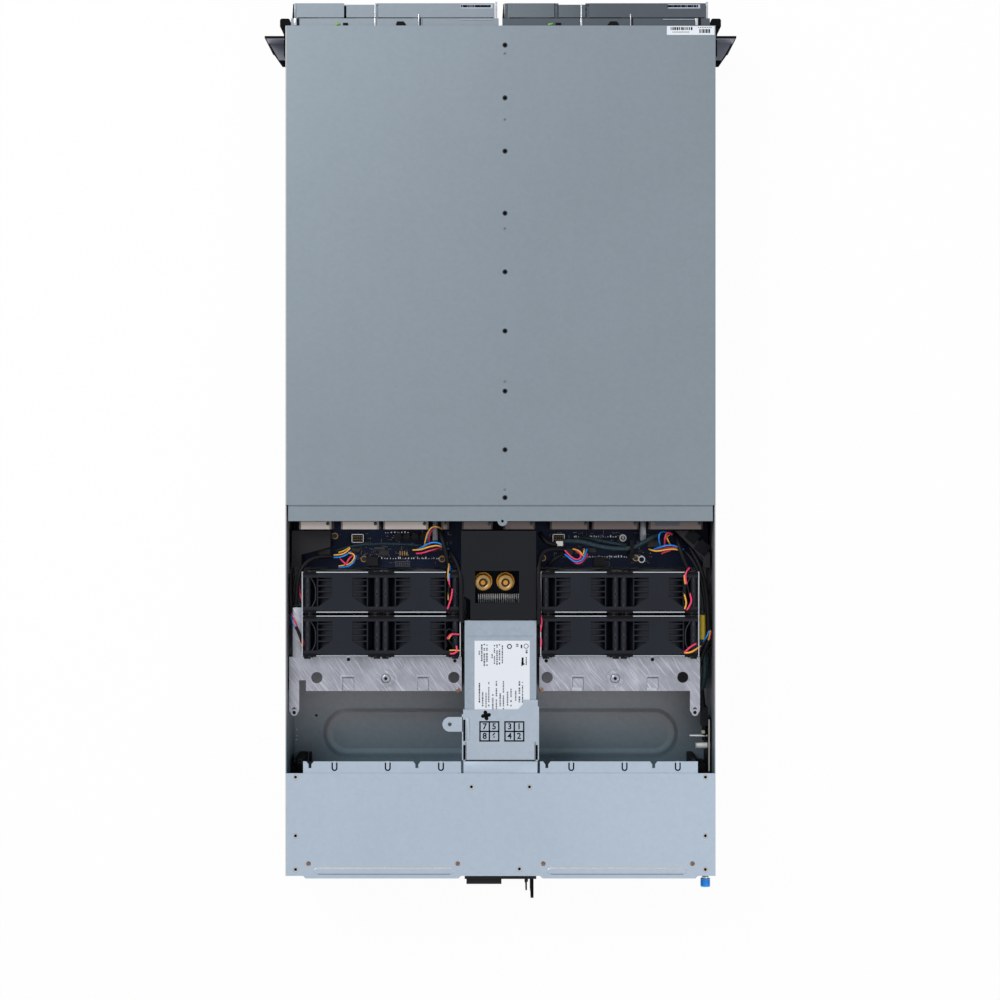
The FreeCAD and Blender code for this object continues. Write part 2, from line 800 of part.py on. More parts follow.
def board_cover():
    """The moulded cover over the power studs, with a window above them, open at the rear."""
    cover = Piece("board_cover")
    front = station("shroud_station")
    rear = station("shroud_station + shroud_length")
    shoulder = rear + " - 26"
    cover.pad("XY", BOARD_TOP, "shroud_top", poly(
        ("-shroud_left", front), ("shroud_right", front), ("shroud_right", shoulder),
        ("shroud_right - shroud_step", rear + " - 20"), ("shroud_right - shroud_step", rear),
        ("-shroud_left", rear)))
    wall = "shroud_wall"
    cover.cut("XY", BOARD_TOP, "shroud_top - shroud_wall", poly(
        ("-shroud_left + " + wall, front + " + " + wall), ("shroud_right - " + wall, front + " + " + wall),
        ("shroud_right - " + wall, shoulder), ("shroud_right - shroud_step - " + wall, rear + " - 20"),
        ("shroud_right - shroud_step - " + wall, rear), ("-shroud_left + " + wall, rear)))
    cover.cut("XY", "shroud_top - shroud_wall", "shroud_top",
              rect("-window_left", station("window_station"), "window_right",
                   station("window_station + window_length")))
    cover.done()


def brass_posts():
    """Two turned brass power studs, each a cup with a pin in it."""
    post = Piece("brass_post")
    post.pad("XY", BOARD_TOP, BOARD_TOP + " + post_rise", circle("0", "0", "post_radius"))
    post.pad("XY", BOARD_TOP, BOARD_TOP + " + 3", circle("0", "0", "post_radius + 1.2"))
    post.cut("XY", BOARD_TOP + " + post_rise - 12", BOARD_TOP + " + post_rise",
             circle("0", "0", "post_bore"), circle("0", "0", "post_stud"))
    spots = ("post_right", "post_right - post_pitch")
    node("brass_posts", [copy("post_%d" % number, post.body, x, station("post_station"))
                         for number, x in enumerate(spots)])


def air_baffles():
    """Moulded blocks that close the corners beside the fans."""
    right = Piece("baffle_right")
    right.pad("XY", BOARD_TOP, "62", poly(
        ("216", station("517")), ("176", station("517")), ("176", station("534")),
        ("206", station("542")), ("206", station("555")), ("216", station("555"))))
    left = Piece("baffle_left")
    left.pad("XY", BOARD_TOP, "70", poly(
        ("-180", station("517")), ("-194", station("517")), ("-216", station("540")),
        ("-216", station("555")), ("-209", station("555")), ("-209", station("546"))))
    node("air_baffles", [right.body, left.body])


# ---------------------------------------------------------------- fans

FAN_LEVEL = "(steel + cage_steel + fan_size / 2)"
ROW_DEPTH = "(fan_depth + 2 * fan_gap + 2 * cage_steel)"
ROW_PITCH = "(%s + cage_row_gap)" % ROW_DEPTH


def fan_cage(label, side):
    """Floor and sides of the fan bay with a hole for the leads, and four plates with fan bores."""
    cage = Piece(label)
    centre = side + "cage_centre"
    reach = "(fan_size + fan_side_gap + cage_steel)"
    low = "%s - %s" % (centre, reach)
    high = "%s + %s" % (centre, reach)
    front = station("cage_station")
    rear = "%s + %s + %s" % (front, ROW_PITCH, ROW_DEPTH)
    cage.pad("XZ", front, rear, poly(
        (low, "steel"), (high, "steel"), (high, "cage_side_rise"), (high + " - cage_steel", "cage_side_rise"),
        (high + " - cage_steel", "steel + cage_steel"), (low + " + cage_steel", "steel + cage_steel"),
        (low + " + cage_steel", "cage_side_rise"), (low, "cage_side_rise")))
    for row in range(2):
        for edge in ("0", ROW_DEPTH + " - cage_steel"):
            start = "%s + %d * %s + %s" % (front, row, ROW_PITCH, edge)
            cage.pad("XZ", start, start + " + cage_steel",
                     rect(low, "steel", high, "cage_rise"),
                     circle(centre + " - fan_size / 2", FAN_LEVEL, "cage_bore"),
                     circle(centre + " + fan_size / 2", FAN_LEVEL, "cage_bore"))
    lead = circle(rear + " - lead_setback", "lead_level", "lead_hole")
    cage.cut("YZ", low, low + " + cage_steel", lead)
    cage.cut("YZ", high + " - cage_steel", high, lead)
    cage.done()


def fan_frame():
    """One fan's housing: two square flanges, the round duct, corner posts, fins and the stator."""
    frame = Piece("fan_frame")
    half = "(fan_size / 2)"
    square = rect("-" + half, "-" + half, half, half)
    frame.pad("XZ", "0", "fan_flange", square, circle("0", "0", "fan_bore"))
    frame.pad("XZ", "0", "fan_depth", circle("0", "0", "fan_bore + fan_duct"), circle("0", "0", "fan_bore"))
    frame.pad("XZ", "fan_depth - fan_flange", "fan_depth", square, circle("0", "0", "fan_bore"))
    corner = half + " - fan_post - 1"
    frame.pad("XZ", "0", "fan_depth", *[circle(x + corner_x, z + corner_z, "fan_post")
              for x, corner_x in (("", corner), ("-(", corner + ")"))
              for z, corner_z in (("", corner), ("-(", corner + ")"))])
    duct = "(fan_bore + fan_duct / 2)"
    flat = "(fan_flat / 2)"
    wall = "(fan_wall_x + fan_fin)"
    panel_foot = "sqrt(%s^2 - %s^2)" % (duct, flat)
    wall_foot = "sqrt(%s^2 - %s^2)" % (duct, wall)
    frame.pad("XZ", "fan_flange", "fan_depth - fan_flange", rect("-" + flat, panel_foot, flat, half))
    for step in range(4):
        start = "fan_rib_start + %d * fan_rib_pitch" % step
        frame.pad("XZ", start, start + " + fan_fin", *[
            poly((side + flat, panel_foot), (side + flat, half), (side + wall, half + " - fan_rib_fall"),
                 (side + wall, wall_foot)) for side in ("", "-")])
    frame.pad("XZ", "fan_flange", "fan_depth - fan_flange", *[
        rect(side + "fan_wall_x", wall_foot, side + wall, half + " - fan_rib_fall") for side in ("", "-")])
    frame.pad("XY", half + " - fan_fin", half, poly(
        ("-fan_wall_x", "fan_depth - fan_flange"), ("fan_wall_x", "fan_depth - fan_flange"),
        (flat, "fan_depth - fan_flange - fan_flare"), ("-" + flat, "fan_depth - fan_flange - fan_flare")))
    frame.pad("XZ", "fan_depth - stator_depth", "fan_depth", circle("0", "0", "hub_radius"))
    strut = frame.pad("XZ", "fan_depth - stator_depth", "fan_depth",
                      rect("-strut_width / 2", "hub_radius - 1", "strut_width / 2", "fan_bore + fan_duct / 2"))
    frame.around(strut, "Y", "4")
    frame.pad("XZ", "fan_depth - stator_depth - spindle_length", "fan_depth - stator_depth",
              circle("0", "0", "spindle_radius"))
    return frame.body


def fan_rotor():
    """One rotor: a cupped hub bored for the spindle, and a ring of twisted blades."""
    rotor = Piece("fan_rotor")
    rear = "(fan_depth - stator_depth - hub_play)"
    front = "(%s - hub_depth)" % rear
    rotor.pad("XZ", front, rear, circle("0", "0", "hub_radius"))
    rotor.cut("XZ", "%s - spindle_length" % rear, rear, circle("0", "0", "spindle_radius + spindle_play"))
    middle = "(%s - hub_depth / 2)" % rear
    sections = []
    for radius, sweep in (("hub_radius - 1.5", "blade_sweep_root"), ("blade_tip", "blade_sweep_tip")):
        lead = middle + " - blade_depth / 2"
        trail = middle + " + blade_depth / 2"
        sections.append(rotor.sketch("XY", radius, [poly(
            ("-%s / 2" % sweep, lead), ("-%s / 2 + blade_thick" % sweep, lead),
            ("%s / 2 + blade_thick" % sweep, trail), ("%s / 2" % sweep, trail))]))
    blade = rotor.body.newObject("PartDesign::AdditiveLoft", "fan_rotor_blade")
    blade.Profile = sections[0]
    blade.Sections = [sections[1]]
    blade.Ruled = True
    rotor.around(blade, "Y", "blade_count")
    return rotor.body


def fans():
    """Eight fans, four on each side: their housings as two groups and each rotor by itself."""
    frame = fan_frame()
    rotor = fan_rotor()
    number = 1
    for label, side in (("fan_frames_right", ""), ("fan_frames_left", "-")):
        frames = []
        for row in range(2):
            for column in ("-", "+"):
                x = "%scage_centre %s fan_size / 2" % (side, column)
                y = "%s + %d * %s + cage_steel + fan_gap" % (station("cage_station"), row, ROW_PITCH)
                frames.append(copy("fan_housing_%d" % number, frame, x, y, FAN_LEVEL))
                spinner = copy("fan_rotor_%d" % number, rotor, x, y, FAN_LEVEL)
                node("fan_rotor_%d" % number, [spinner])
                number += 1
        node(label, frames)


def fan_plate(label, side, outer):
    """One bridge behind the fans: a pierced top on two side flanges, with a leg to the rear."""
    plate = Piece(label)
    front = station("plate_front")
    rear = station("plate_front + plate_length")
    under = "(plate_level - plate_steel)"
    edge = side + outer
    inner = side + "plate_inner"
    leg = "%s(%s - plate_leg_width)" % (side, outer)
    leg_middle = "%s(%s - plate_leg_width / 2)" % (side, outer)
    foot = rear + " + plate_leg_length - plate_leg_width / 2"
    plate.pad("XZ", front, rear, poly(
        (inner, "steel"), (side + "(plate_inner + plate_steel)", "steel"),
        (side + "(plate_inner + plate_steel)", under), ("%s(%s - plate_steel)" % (side, outer), under),
        ("%s(%s - plate_steel)" % (side, outer), "steel"), (edge, "steel"), (edge, "plate_level"),
        (inner, "plate_level")))
    plate.pad("XY", under, "plate_level", rect(leg, rear, edge, foot))
    plate.pad("XY", under, "plate_level", circle(leg_middle, foot, "plate_leg_width / 2"))
    plate.cut("XY", under, "plate_level",
              rect("%s(%s - plate_leg_width - 7)" % (side, outer), rear + " - 11", leg, rear + " + 1"),
              circle(side + "189", rear + " - 13.7", "plate_hole"),
              circle(side + "(plate_inner + 8)", rear + " - 13.9", "plate_hole"),
              circle(side + "156.4", front + " + 2.6", "1.8"),
              circle(side + "(plate_inner + 7)", front + " + 4", "1.8"),
              circle(leg_middle, foot, "2"))
    plate.pad("XY", "plate_level", "plate_level + 1",
              circle(side + "118", rear + " - 12.9", "plate_boss"),
              circle(side + "118", rear + " - 12.9", "plate_boss - 4"),
              rect(side + "151", rear + " - 13", side + "162", rear + " - 1"),
              rect(side + "74.5", rear + " - 13", side + "85", rear + " - 1"))
    return plate.body


def fan_plates():
    node("fan_plates", [fan_plate("fan_plate_right", "", "plate_outer_right"),
                        fan_plate("fan_plate_left", "-", "plate_outer_left")])


# ---------------------------------------------------------------- power supplies

PSU_HALF = "(psu_width / 2)"
SHELF_LOW = "(psu_floor + psu_height + psu_shelf_gap)"
SHELF_TOP = "(%s + psu_cage_steel)" % SHELF_LOW
UPPER_FLOOR = "(%s + fit_gap)" % SHELF_TOP
CAGE_TOP = "(%s + psu_height + psu_shelf_gap + psu_cage_steel)" % UPPER_FLOOR
PSU_REAR = station("psu_station + psu_length")


def psu_cage():
    """The cage round the power supplies: two walls, a shelf between them and the top plate."""
    cage = Piece("psu_cage")
    inside = "(%s + psu_side_gap)" % PSU_HALF
    outside = "(%s + psu_cage_steel)" % inside
    front = station("psu_cage_station")
    under = CAGE_TOP + " - psu_cage_steel"
    foot = "(steel + bead_height)"
    outer = poly(("-" + outside, foot), ("-" + outside, CAGE_TOP), (outside, CAGE_TOP), (outside, foot),
                 (inside, foot), (inside, SHELF_LOW), ("-" + inside, SHELF_LOW), ("-" + inside, foot))
    cage.pad("XZ", front, REAR + " - steel - grille_steel", outer,
             rect("-" + inside, SHELF_TOP, inside, under))
    cage.cut("XY", "steel", CAGE_TOP, poly(
        ("psu_cage_notch_x", front + " + psu_cage_notch"),
        ("psu_cage_notch_x - 5", front + " + psu_cage_notch - 5"),
        ("psu_cage_notch_x - 5", front + " - 1"), (outside + " + 1", front + " - 1"),
        (outside + " + 1", front + " + psu_cage_notch")))
    tab = station("psu_tab_station")
    cage.pad("XY", under, CAGE_TOP, slot(inside, tab, "psu_tab_reach", tab, "psu_tab_radius"))
    near = "(%s - 2.6)" % inside
    far = "(%s - 0.6)" % inside
    cage.cut("XY", under, CAGE_TOP, circle("psu_tab_reach", tab, "2"),
             rect(near, front + " + 43", far, front + " + 61"),
             rect("-" + near, front + " + 43", "-" + far, front + " + 61"))
    cage.done()


def psu(number, level):
    """One power supply: its case, rear frame, bail handle and sprung latch."""
    top = "(%s + psu_height)" % level
    case_end = PSU_REAR + " - psu_rear_depth"
    case = Piece("psu_%d_case" % number)
    case.pad("XY", level, top, rect("-" + PSU_HALF, station("psu_station"), PSU_HALF, case_end))
    case.cut("XY", top + " - 0.5", top, rect("-%s + 3" % PSU_HALF, station("psu_station + 15.5"),
                                             PSU_HALF + " - 3", station("psu_station + 17")))
    case.done()
    rear = Piece("psu_%d_rear" % number)
    middle = "(%s + psu_height / 2)" % level
    rear.pad("XZ", case_end, PSU_REAR, rect("-" + PSU_HALF, level, PSU_HALF, top))
    collar_half = "(socket_width / 2 + collar_border)"
    collar_rise = "(socket_height / 2 + collar_border)"
    rear.pad("XZ", PSU_REAR, PSU_REAR + " + collar_depth",
             rect("socket_x - " + collar_half, "%s - %s" % (middle, collar_rise),
                  "socket_x + " + collar_half, "%s + %s" % (middle, collar_rise)))
    rear.cut("XZ", PSU_REAR + " - socket_depth", PSU_REAR + " + collar_depth",
             rect("socket_x - socket_width / 2", middle + " - socket_height / 2",
                  "socket_x + socket_width / 2", middle + " + socket_height / 2"))
    rear.cut("XZ", PSU_REAR + " - psu_fan_depth", PSU_REAR, circle("psu_fan_x", middle, "psu_fan_radius"),
             circle("psu_fan_x", middle, "psu_fan_radius - 3.5"))
    pivot_y = PSU_REAR + " + latch_station"
    lug = rect("latch_x - latch_barrel", PSU_REAR, "latch_x + latch_barrel", pivot_y + " + latch_barrel")
    low = level + " + latch_margin"
    high = top + " - latch_margin"
    rear.pad("XY", low + " - 2.5", low, lug)
    rear.pad("XY", high, high + " + 2.5", lug)
    rear.pad("XY", low, high, circle("latch_x", pivot_y, "latch_pin"))
    rear.done()
    bail = Piece("psu_%d_handle" % number)
    bail_end = PSU_REAR + " + bail_reach"
    foot = level + " + bail_margin"
    head = top + " - bail_margin"
    bail.pad("YZ", "bail_x - bail_thick / 2", "bail_x + bail_thick / 2", poly(
        (PSU_REAR, foot), (bail_end + " - 4", foot), (bail_end, foot + " + 4"), (bail_end, head + " - 4"),
        (bail_end + " - 4", head), (PSU_REAR, head), (PSU_REAR, head + " - bail_thick"),
        (bail_end + " - bail_thick", head + " - bail_thick"),
        (bail_end + " - bail_thick", foot + " + bail_thick"),
        (PSU_REAR, foot + " + bail_thick")))
    bail.done()
    latch = Piece("psu_%d_latch" % number)
    latch.pad("XY", low + " + fit_gap", high + " - fit_gap", circle("latch_x", pivot_y, "latch_barrel"))
    latch.pad("XY", low + " + fit_gap", high + " - fit_gap",
              rect("latch_x - latch_plate / 2", pivot_y,
                   "latch_x + latch_plate / 2", pivot_y + " + latch_reach"))
    latch.cut("XY", low + " + fit_gap", high + " - fit_gap",
              circle("latch_x", pivot_y, "latch_pin + pivot_play"))
    latch.done()


# ---------------------------------------------------------------- rear wall

def rear_grilles():
    """Honeycomb sheets behind the two windows of the rear wall."""
    pitch = value("grille_pitch")
    radius = (pitch - value("grille_web")) / math.sqrt(3)
    border = value("grille_border")
    low = value("window_low")
    high = value("window_high")
    back = value(REAR + " - steel - grille_steel")
    thick = value("grille_steel")
    sheets = []
    for side in (1, -1):
        left = min(side * value("window_inner"), side * value("window_outer"))
        width = value("window_outer") - value("window_inner")
        plate = Part.makeBox(width + 2 * border, thick, high - low + 2 * border,
                             Vector(left - border, back, low - border))
        rows = int((high - low - 2 * radius) / (pitch * math.sqrt(3) / 2)) + 1
        holes = []
        for row in range(rows):
            z = (low + high) / 2 + (row - (rows - 1) / 2) * pitch * math.sqrt(3) / 2
            shift = pitch / 2 * (row % 2)
            columns = int((width - pitch - shift) / pitch) + 1
            for column in range(columns):
                x = left + (width - (columns - 1) * pitch) / 2 + column * pitch
                corners = [Vector(x + radius * math.sin(math.radians(60 * turn)), back,
                                  z + radius * math.cos(math.radians(60 * turn))) for turn in range(7)]
                holes.append(Part.Face(Part.makePolygon(corners)).extrude(Y_AXIS * thick))
        sheets.append(plate.cut(holes))
    shaped("rear_grilles", Part.makeCompound(sheets))


def management_module():
    """The small upright board at the rear left corner, its ports and its wall spacers."""
    back = REAR + " - steel"
    board = block("module_board", MODULE_X + " - board_thick", MODULE_X, station("module_station"),
                  back + " - 4", "module_low", "module_low + module_rise")
    solids = [board]
    for number in range(2):
        z = "port_low + %d * port_pitch" % number
        top = z + " + port_height"
        sill = z + " + port_lip"
        head = top + " - port_lip"
        end = back + " - fit_gap"
        mouth = back + " - port_mouth"
        right = MODULE_X + " + port_width"
        for name, size in (
                ("contacts", (MODULE_X, right, back + " - port_depth", mouth, z, top)),
                ("floor", (MODULE_X, right, mouth, end, z, sill)),
                ("roof", (MODULE_X, right, mouth, end, head, top)),
                ("near", (MODULE_X, MODULE_X + " + port_wall", mouth, end, sill, head)),
                ("far", (right + " - port_wall", right, mouth, end, sill, head))):
            solids.append(block("module_port_%s_%d" % (name, number), *size))
    level = "module_low + 40"
    for number, y in enumerate(("module_station + 28.7", "module_station + 130")):
        solids.append(rod("module_spacer_%d" % number, X_AXIS, "-" + INNER, station(y), level, "3",
                          "%s - board_thick + %s" % (MODULE_X, INNER)))
    for name, step, radius, length in (("coil", "28.7", "2.7", "11.7"), ("pin", "18.3", "1.5", "18.5")):
        solids.append(rod("module_" + name, X_AXIS, MODULE_X, station("module_station + " + step), level,
                          radius, length))
    solids.append(block("module_plug", MODULE_X, MODULE_X + " + 6.6", station("module_station - 12"),
                        station("module_station + 7.4"), level + " - 9", level + " + 9"))
    node("management_module", solids)


def thumbscrew():
    """The captive thumbscrew that holds the management module in the rear wall."""
    screw = Piece("thumbscrew")
    start = REAR + " + knob_neck"
    screw.pad("XZ", start, start + " + knob_length", circle("0", "0", "knob_radius"))
    screw.pad("XZ", REAR + " - 14", start, circle("0", "0", "knob_shaft"))
    notch = screw.cut("XZ", start + " + 1.5", start + " + knob_length - 1.5",
                      rect("-0.5", "knob_radius - 0.5", "0.5", "knob_radius + 0.5"))
    screw.around(notch, "Y", "18")
    screw.move(KNOB_X, "0", "knob_level")
    screw.done()


# ---------------------------------------------------------------- sleds

def sled_board_spots():
    front = "sled_board_front + 12"
    rear = "sled_board_front + sled_board_length - 12"
    reach = "(%s - sled_board_margin - 12)" % SLED_HALF
    return [(side + reach, station(y)) for side in ("", "-") for y in (front, rear)]


LEVER_LEFT = "(-%s + sled_steel + lever_gap)" % SLED_HALF
LEVER_Y = station("lever_pivot_station")
LEVER_Z = "(%s + lever_pivot_height)" % SLED_FLOOR
SHELL_FRONT = station("-sled_shell_front")


def sled_tray(side, x):
    """The sled's floor and walls, its pierced rear wall, board standoffs and lever pin."""
    tray = Piece("sled_%s_tray" % side)
    wall_top = "(sled_top - sled_steel)"
    inside = "(%s - sled_steel)" % SLED_HALF
    floor = "(%s + sled_steel)" % SLED_FLOOR
    tray.pad("XZ", SHELL_FRONT, station("sled_length"), poly(
        ("-" + SLED_HALF, SLED_FLOOR), (SLED_HALF, SLED_FLOOR), (SLED_HALF, wall_top), (inside, wall_top),
        (inside, floor), ("-" + inside, floor), ("-" + inside, wall_top), ("-" + SLED_HALF, wall_top)))
    rear = station("sled_length")
    tray.pad("XZ", rear + " - sled_steel", rear, rect("-" + inside, floor, inside, wall_top))
    tray.cut("XZ", rear + " - sled_steel", rear,
             *[rect("%s * (%s - 8) / 100" % (low, inside), "20", "%s * (%s - 8) / 100" % (high, inside), "76")
               for low, high in ((-100, -38), (-30, 30), (38, 100))])
    tray.pad("XY", floor, "sled_board_level",
             *[circle(px, py, "standoff_radius") for px, py in sled_board_spots()])
    tray.pad("YZ", "-" + inside, LEVER_LEFT + " + lever_thick + 0.6", circle(LEVER_Y, LEVER_Z, "lever_pin"))
    tray.move(x)
    tray.done()


def sled_cover(side, x):
    """The sled's flat lid, with a pull hole and a small bent stop."""
    lid = Piece("sled_%s_cover" % side)
    lid.pad("XY", "sled_top - sled_steel", "sled_top",
            rect("-" + SLED_HALF, SHELL_FRONT, SLED_HALF, station("sled_length")))
    lid.cut("XY", "sled_top - sled_steel", "sled_top", poly(
        ("-13", station("1")), ("-9", station("-4")), ("-3.5", station("-4")), ("0", station("1")),
        ("-3.5", station("6")), ("-9", station("6"))))
    lid.pad("XY", "sled_top", "sled_top + 1",
            rect("-27.6", station("-sled_shell_front + 0.2"), "-25.6", station("6")))
    lid.move(x)
    lid.done()


PANEL_Y = station("-sled_overhang")
WIDE_LOW = "(%s + lever_thick + 0.8)" % LEVER_LEFT
WIDE_HIGH = "(%s + wide_panel)" % WIDE_LOW
NARROW_LOW = "(%s + panel_joint)" % WIDE_HIGH
NARROW_HIGH = "(%s + narrow_panel)" % NARROW_LOW
IO_LOW = "(%s + panel_joint)" % NARROW_HIGH
IO_HIGH = "(%s - panel_end_gap)" % SLED_HALF
DRIVE_LOW = "(%s + drive_bay_inset)" % WIDE_LOW
DRIVE_PITCH = "(drive_height + 2 * drive_gap + drive_shelf)"
BUTTON_X = "(%s - 9)" % IO_HIGH


def front_panel(side, x):
    """The sled's bent face: vents and drive bays, a set-back card slot and the ports."""
    panel = Piece("sled_%s_front_panel" % side)
    low = SLED_FLOOR
    high = "sled_top"
    back = PANEL_Y + " + panel_setback"
    steel = "panel_steel"
    rear = SHELL_FRONT
    panel.pad("XY", low, high, poly(
        (WIDE_LOW, PANEL_Y), (WIDE_HIGH, PANEL_Y), (WIDE_HIGH, back), (IO_LOW, back), (IO_LOW, PANEL_Y),
        (IO_HIGH, PANEL_Y), (IO_HIGH, rear), (IO_HIGH + " - " + steel, rear),
        (IO_HIGH + " - " + steel, PANEL_Y + " + " + steel), (IO_LOW + " + " + steel, PANEL_Y + " + " + steel),
        (IO_LOW + " + " + steel, back + " + " + steel), (WIDE_HIGH + " - " + steel, back + " + " + steel),
        (WIDE_HIGH + " - " + steel, PANEL_Y + " + " + steel),
        (WIDE_LOW + " + " + steel, PANEL_Y + " + " + steel), (WIDE_LOW + " + " + steel, rear),
        (WIDE_LOW, rear)))
    panel.pad("XY", high + " - panel_steel", high,
              rect(WIDE_LOW, PANEL_Y, WIDE_HIGH, PANEL_Y + " + panel_depth"),
              rect(NARROW_LOW, back, NARROW_HIGH, PANEL_Y + " + panel_depth"),
              rect(IO_LOW, PANEL_Y, IO_HIGH, PANEL_Y + " + panel_depth"))
    panel.pad("XY", low, low + " + panel_steel", rect(WIDE_LOW, PANEL_Y, IO_HIGH, rear))
    bay_low = DRIVE_LOW + " - drive_gap"
    bay_high = DRIVE_LOW + " + drive_width + drive_gap"
    bay_end = PANEL_Y + " + drive_bezel + drive_depth + 6"
    tiers = ["(drive_bay_level + %d * %s)" % (tier, DRIVE_PITCH) for tier in range(2)]
    holes = [rect(bay_low, tier, bay_high, tier + " + drive_height + 2 * drive_gap") for tier in tiers]
    panel.pad("XZ", PANEL_Y, bay_end,
              rect(bay_low + " - drive_shelf", "drive_bay_level - drive_shelf", bay_high + " + drive_shelf",
                   tiers[1] + " + drive_height + 2 * drive_gap + drive_shelf"), *holes)
    panel.cut("XZ", PANEL_Y, PANEL_Y + " + panel_setback + 0.2", *holes)
    face_end = PANEL_Y + " + panel_steel"
    vent_pitch = "7.2"
    vent = panel.cut("XZ", PANEL_Y, face_end, rect(WIDE_LOW + " + 5", "52", WIDE_LOW + " + 9.6", "78"))
    panel.repeat(vent, "X", "14 * " + vent_pitch, "15")
    card = panel.cut("XZ", back, back + " + panel_steel",
                     rect(NARROW_LOW + " + 5", "12", NARROW_HIGH + " - 5", "15"))
    panel.repeat(card, "Z", "60", "11")
    panel.pad("XZ", face_end, face_end + " + 12", rect(IO_LOW + " + 5", "10", IO_LOW + " + 44", "40"))
    panel.cut("XZ", PANEL_Y, PANEL_Y + " + port_recess",
              rect(IO_LOW + " + 7", "12", IO_LOW + " + 23", "26"),
              rect(IO_LOW + " + 26", "12", IO_LOW + " + 42", "26"),
              rect(IO_LOW + " + 7", "31", IO_LOW + " + 20.5", "37"),
              rect(IO_LOW + " + 26", "31", IO_LOW + " + 42", "38"))
    panel.cut("XZ", PANEL_Y, face_end, circle(BUTTON_X, "button_level", "button_radius + fit_gap"))
    vents = panel.cut("XZ", PANEL_Y, face_end, rect(IO_LOW + " + 6", "46", IO_LOW + " + 10", "76"))
    panel.repeat(vents, "X", "24", "5")
    panel.move(x)
    panel.done()


def drive(side, x, tier):
    """A drive carrier: the drive's body and a bezel with a finger grip."""
    carrier = Piece("sled_%s_drive_%d" % (side, tier + 1))
    level = "(drive_bay_level + %d * %s + drive_gap)" % (tier, DRIVE_PITCH)
    top = "(%s + drive_height)" % level
    high = "(%s + drive_width)" % DRIVE_LOW
    front = PANEL_Y + " - 1"
    carrier.pad("XZ", front, front + " + drive_bezel", rect(DRIVE_LOW, level, high, top))
    carrier.pad("XZ", front + " + drive_bezel", front + " + drive_bezel + drive_depth",
                rect(DRIVE_LOW + " + 1", level, high + " - 1", top + " - 1"))
    carrier.cut("XZ", front, front + " + drive_grip_depth",
                rect(high + " - 4 - drive_grip_width", level + " + 3", high + " - 4", top + " - 3"))
    hole = carrier.cut("XZ", front, front + " + 2", rect(DRIVE_LOW + " + 5", level + " + 3.5",
                                                         DRIVE_LOW + " + 8", top + " - 3.5"))
    carrier.repeat(hole, "X", "36", "8")
    carrier.move(x)
    carrier.done()


def sled_board(side, x):
    """The sled's main board on its standoffs."""
    board = Piece("sled_%s_board" % side)
    reach = "(%s - sled_board_margin)" % SLED_HALF
    board.pad("XY", "sled_board_level", "sled_board_level + board_thick",
              rect("-" + reach, station("sled_board_front"), reach,
                   station("sled_board_front + sled_board_length")))
    board.move(x)
    board.done()


def heat_sink():
    """A finned heat sink on its processor block."""
    sink = Piece("heat_sink")
    base = "(sled_board_level + board_thick)"
    sink.pad("XY", base, base + " + sink_base", rect("-sink_width / 2", "0", "sink_width / 2", "sink_length"))
    fin = sink.pad("XY", base + " + sink_base", base + " + sink_height",
                   rect("-sink_width / 2", "0", "-sink_width / 2 + fin_thick", "sink_length"))
    sink.repeat(fin, "X", "sink_width - fin_thick", "fin_count")
    return sink.body


def release_lever(side, x):
    """The sheet-steel lever at the sled's side that swings forward to free it."""
    lever = Piece("sled_%s_lever" % side)
    y = LEVER_Y
    z = LEVER_Z
    lever.pad("YZ", LEVER_LEFT, LEVER_LEFT + " + lever_thick", poly(
        (y + " - lever_foot - 1", z + " - lever_foot"), (y + " + lever_foot - 1", z + " - lever_foot"),
        (y + " + lever_foot - 1", z + " + lever_rise"), (y + " - lever_reach", z + " + lever_rise"),
        (y + " - lever_reach", z + " + lever_rise - 22"), (y + " - lever_foot - 1", z + " + lever_rise - 44")))
    lever.cut("YZ", LEVER_LEFT, LEVER_LEFT + " + lever_thick", circle(y, z, "lever_pin + pivot_play"),
              circle(y + " - lever_reach + 9", z + " + lever_rise - 9", "4"))
    lever.move(x)
    lever.done()


def power_button(side, x):
    """A round button with a collar behind the face."""
    button = Piece("sled_%s_power_button" % side)
    front = PANEL_Y + " - button_proud"
    back = PANEL_Y + " + panel_steel + fit_gap"
    button.pad("XZ", front, front + " + button_length", circle(BUTTON_X, "button_level", "button_radius"))
    button.pad("XZ", back, back + " + button_collar", circle(BUTTON_X, "button_level", "button_radius + 1.2"))
    button.move(x)
    button.done()


def sleds():
    sink = heat_sink()
    for side, sign in (("left", "-"), ("right", "")):
        x = sign + BAY_CENTRE
        sled_tray(side, x)
        sled_cover(side, x)
        front_panel(side, x)
        sled_board(side, x)
        sinks = [copy("sink_%s_%d" % (side, number), sink, x,
                      station("sink_first + %d * sink_pitch" % number)) for number in range(2)]
        node("sled_%s_heat_sinks" % side, sinks)
        release_lever(side, x)
        power_button(side, x)
        for tier in range(2):
            drive(side, x, tier)


# ---------------------------------------------------------------- cables

RIGHT_HARNESS = ((134, 115, 39.6), (134, 115, 58), (148, 113, 70), (172, 108, 73), (197, 111, 74),
                 (210, 128, 73), (211, 158, 71), (210, 182, 70), (210.8, 199, 66), (210, 207.3, 60),
                 (202.3, 207.3, 60))
LEFT_HARNESS = ((-104, 115, 39.6), (-104, 115, 58), (-90, 112, 70), (-62, 105, 73), (-39.6, 109, 72.5),
                (-38.65, 128, 70.5), (-38.7, 158, 69), (-38.6, 184, 67.5), (-38.65, 199, 63),
                (-38.65, 207.3, 60), (-42.3, 207.3, 60))
DATA_CABLE = ((-60.5, 91, 39.6), (-60.5, 91, 54), (-78, 94, 64), (-110, 98, 67), (-148, 97, 69),
              (-184, 101, 72), (-207, 117, 73), (-211, 145, 73), (-210, 185, 72), (-211, 218, 68),
              (-212, 235, 58), (-211.7, 248, 50), (-211.7, 265.5, 50))


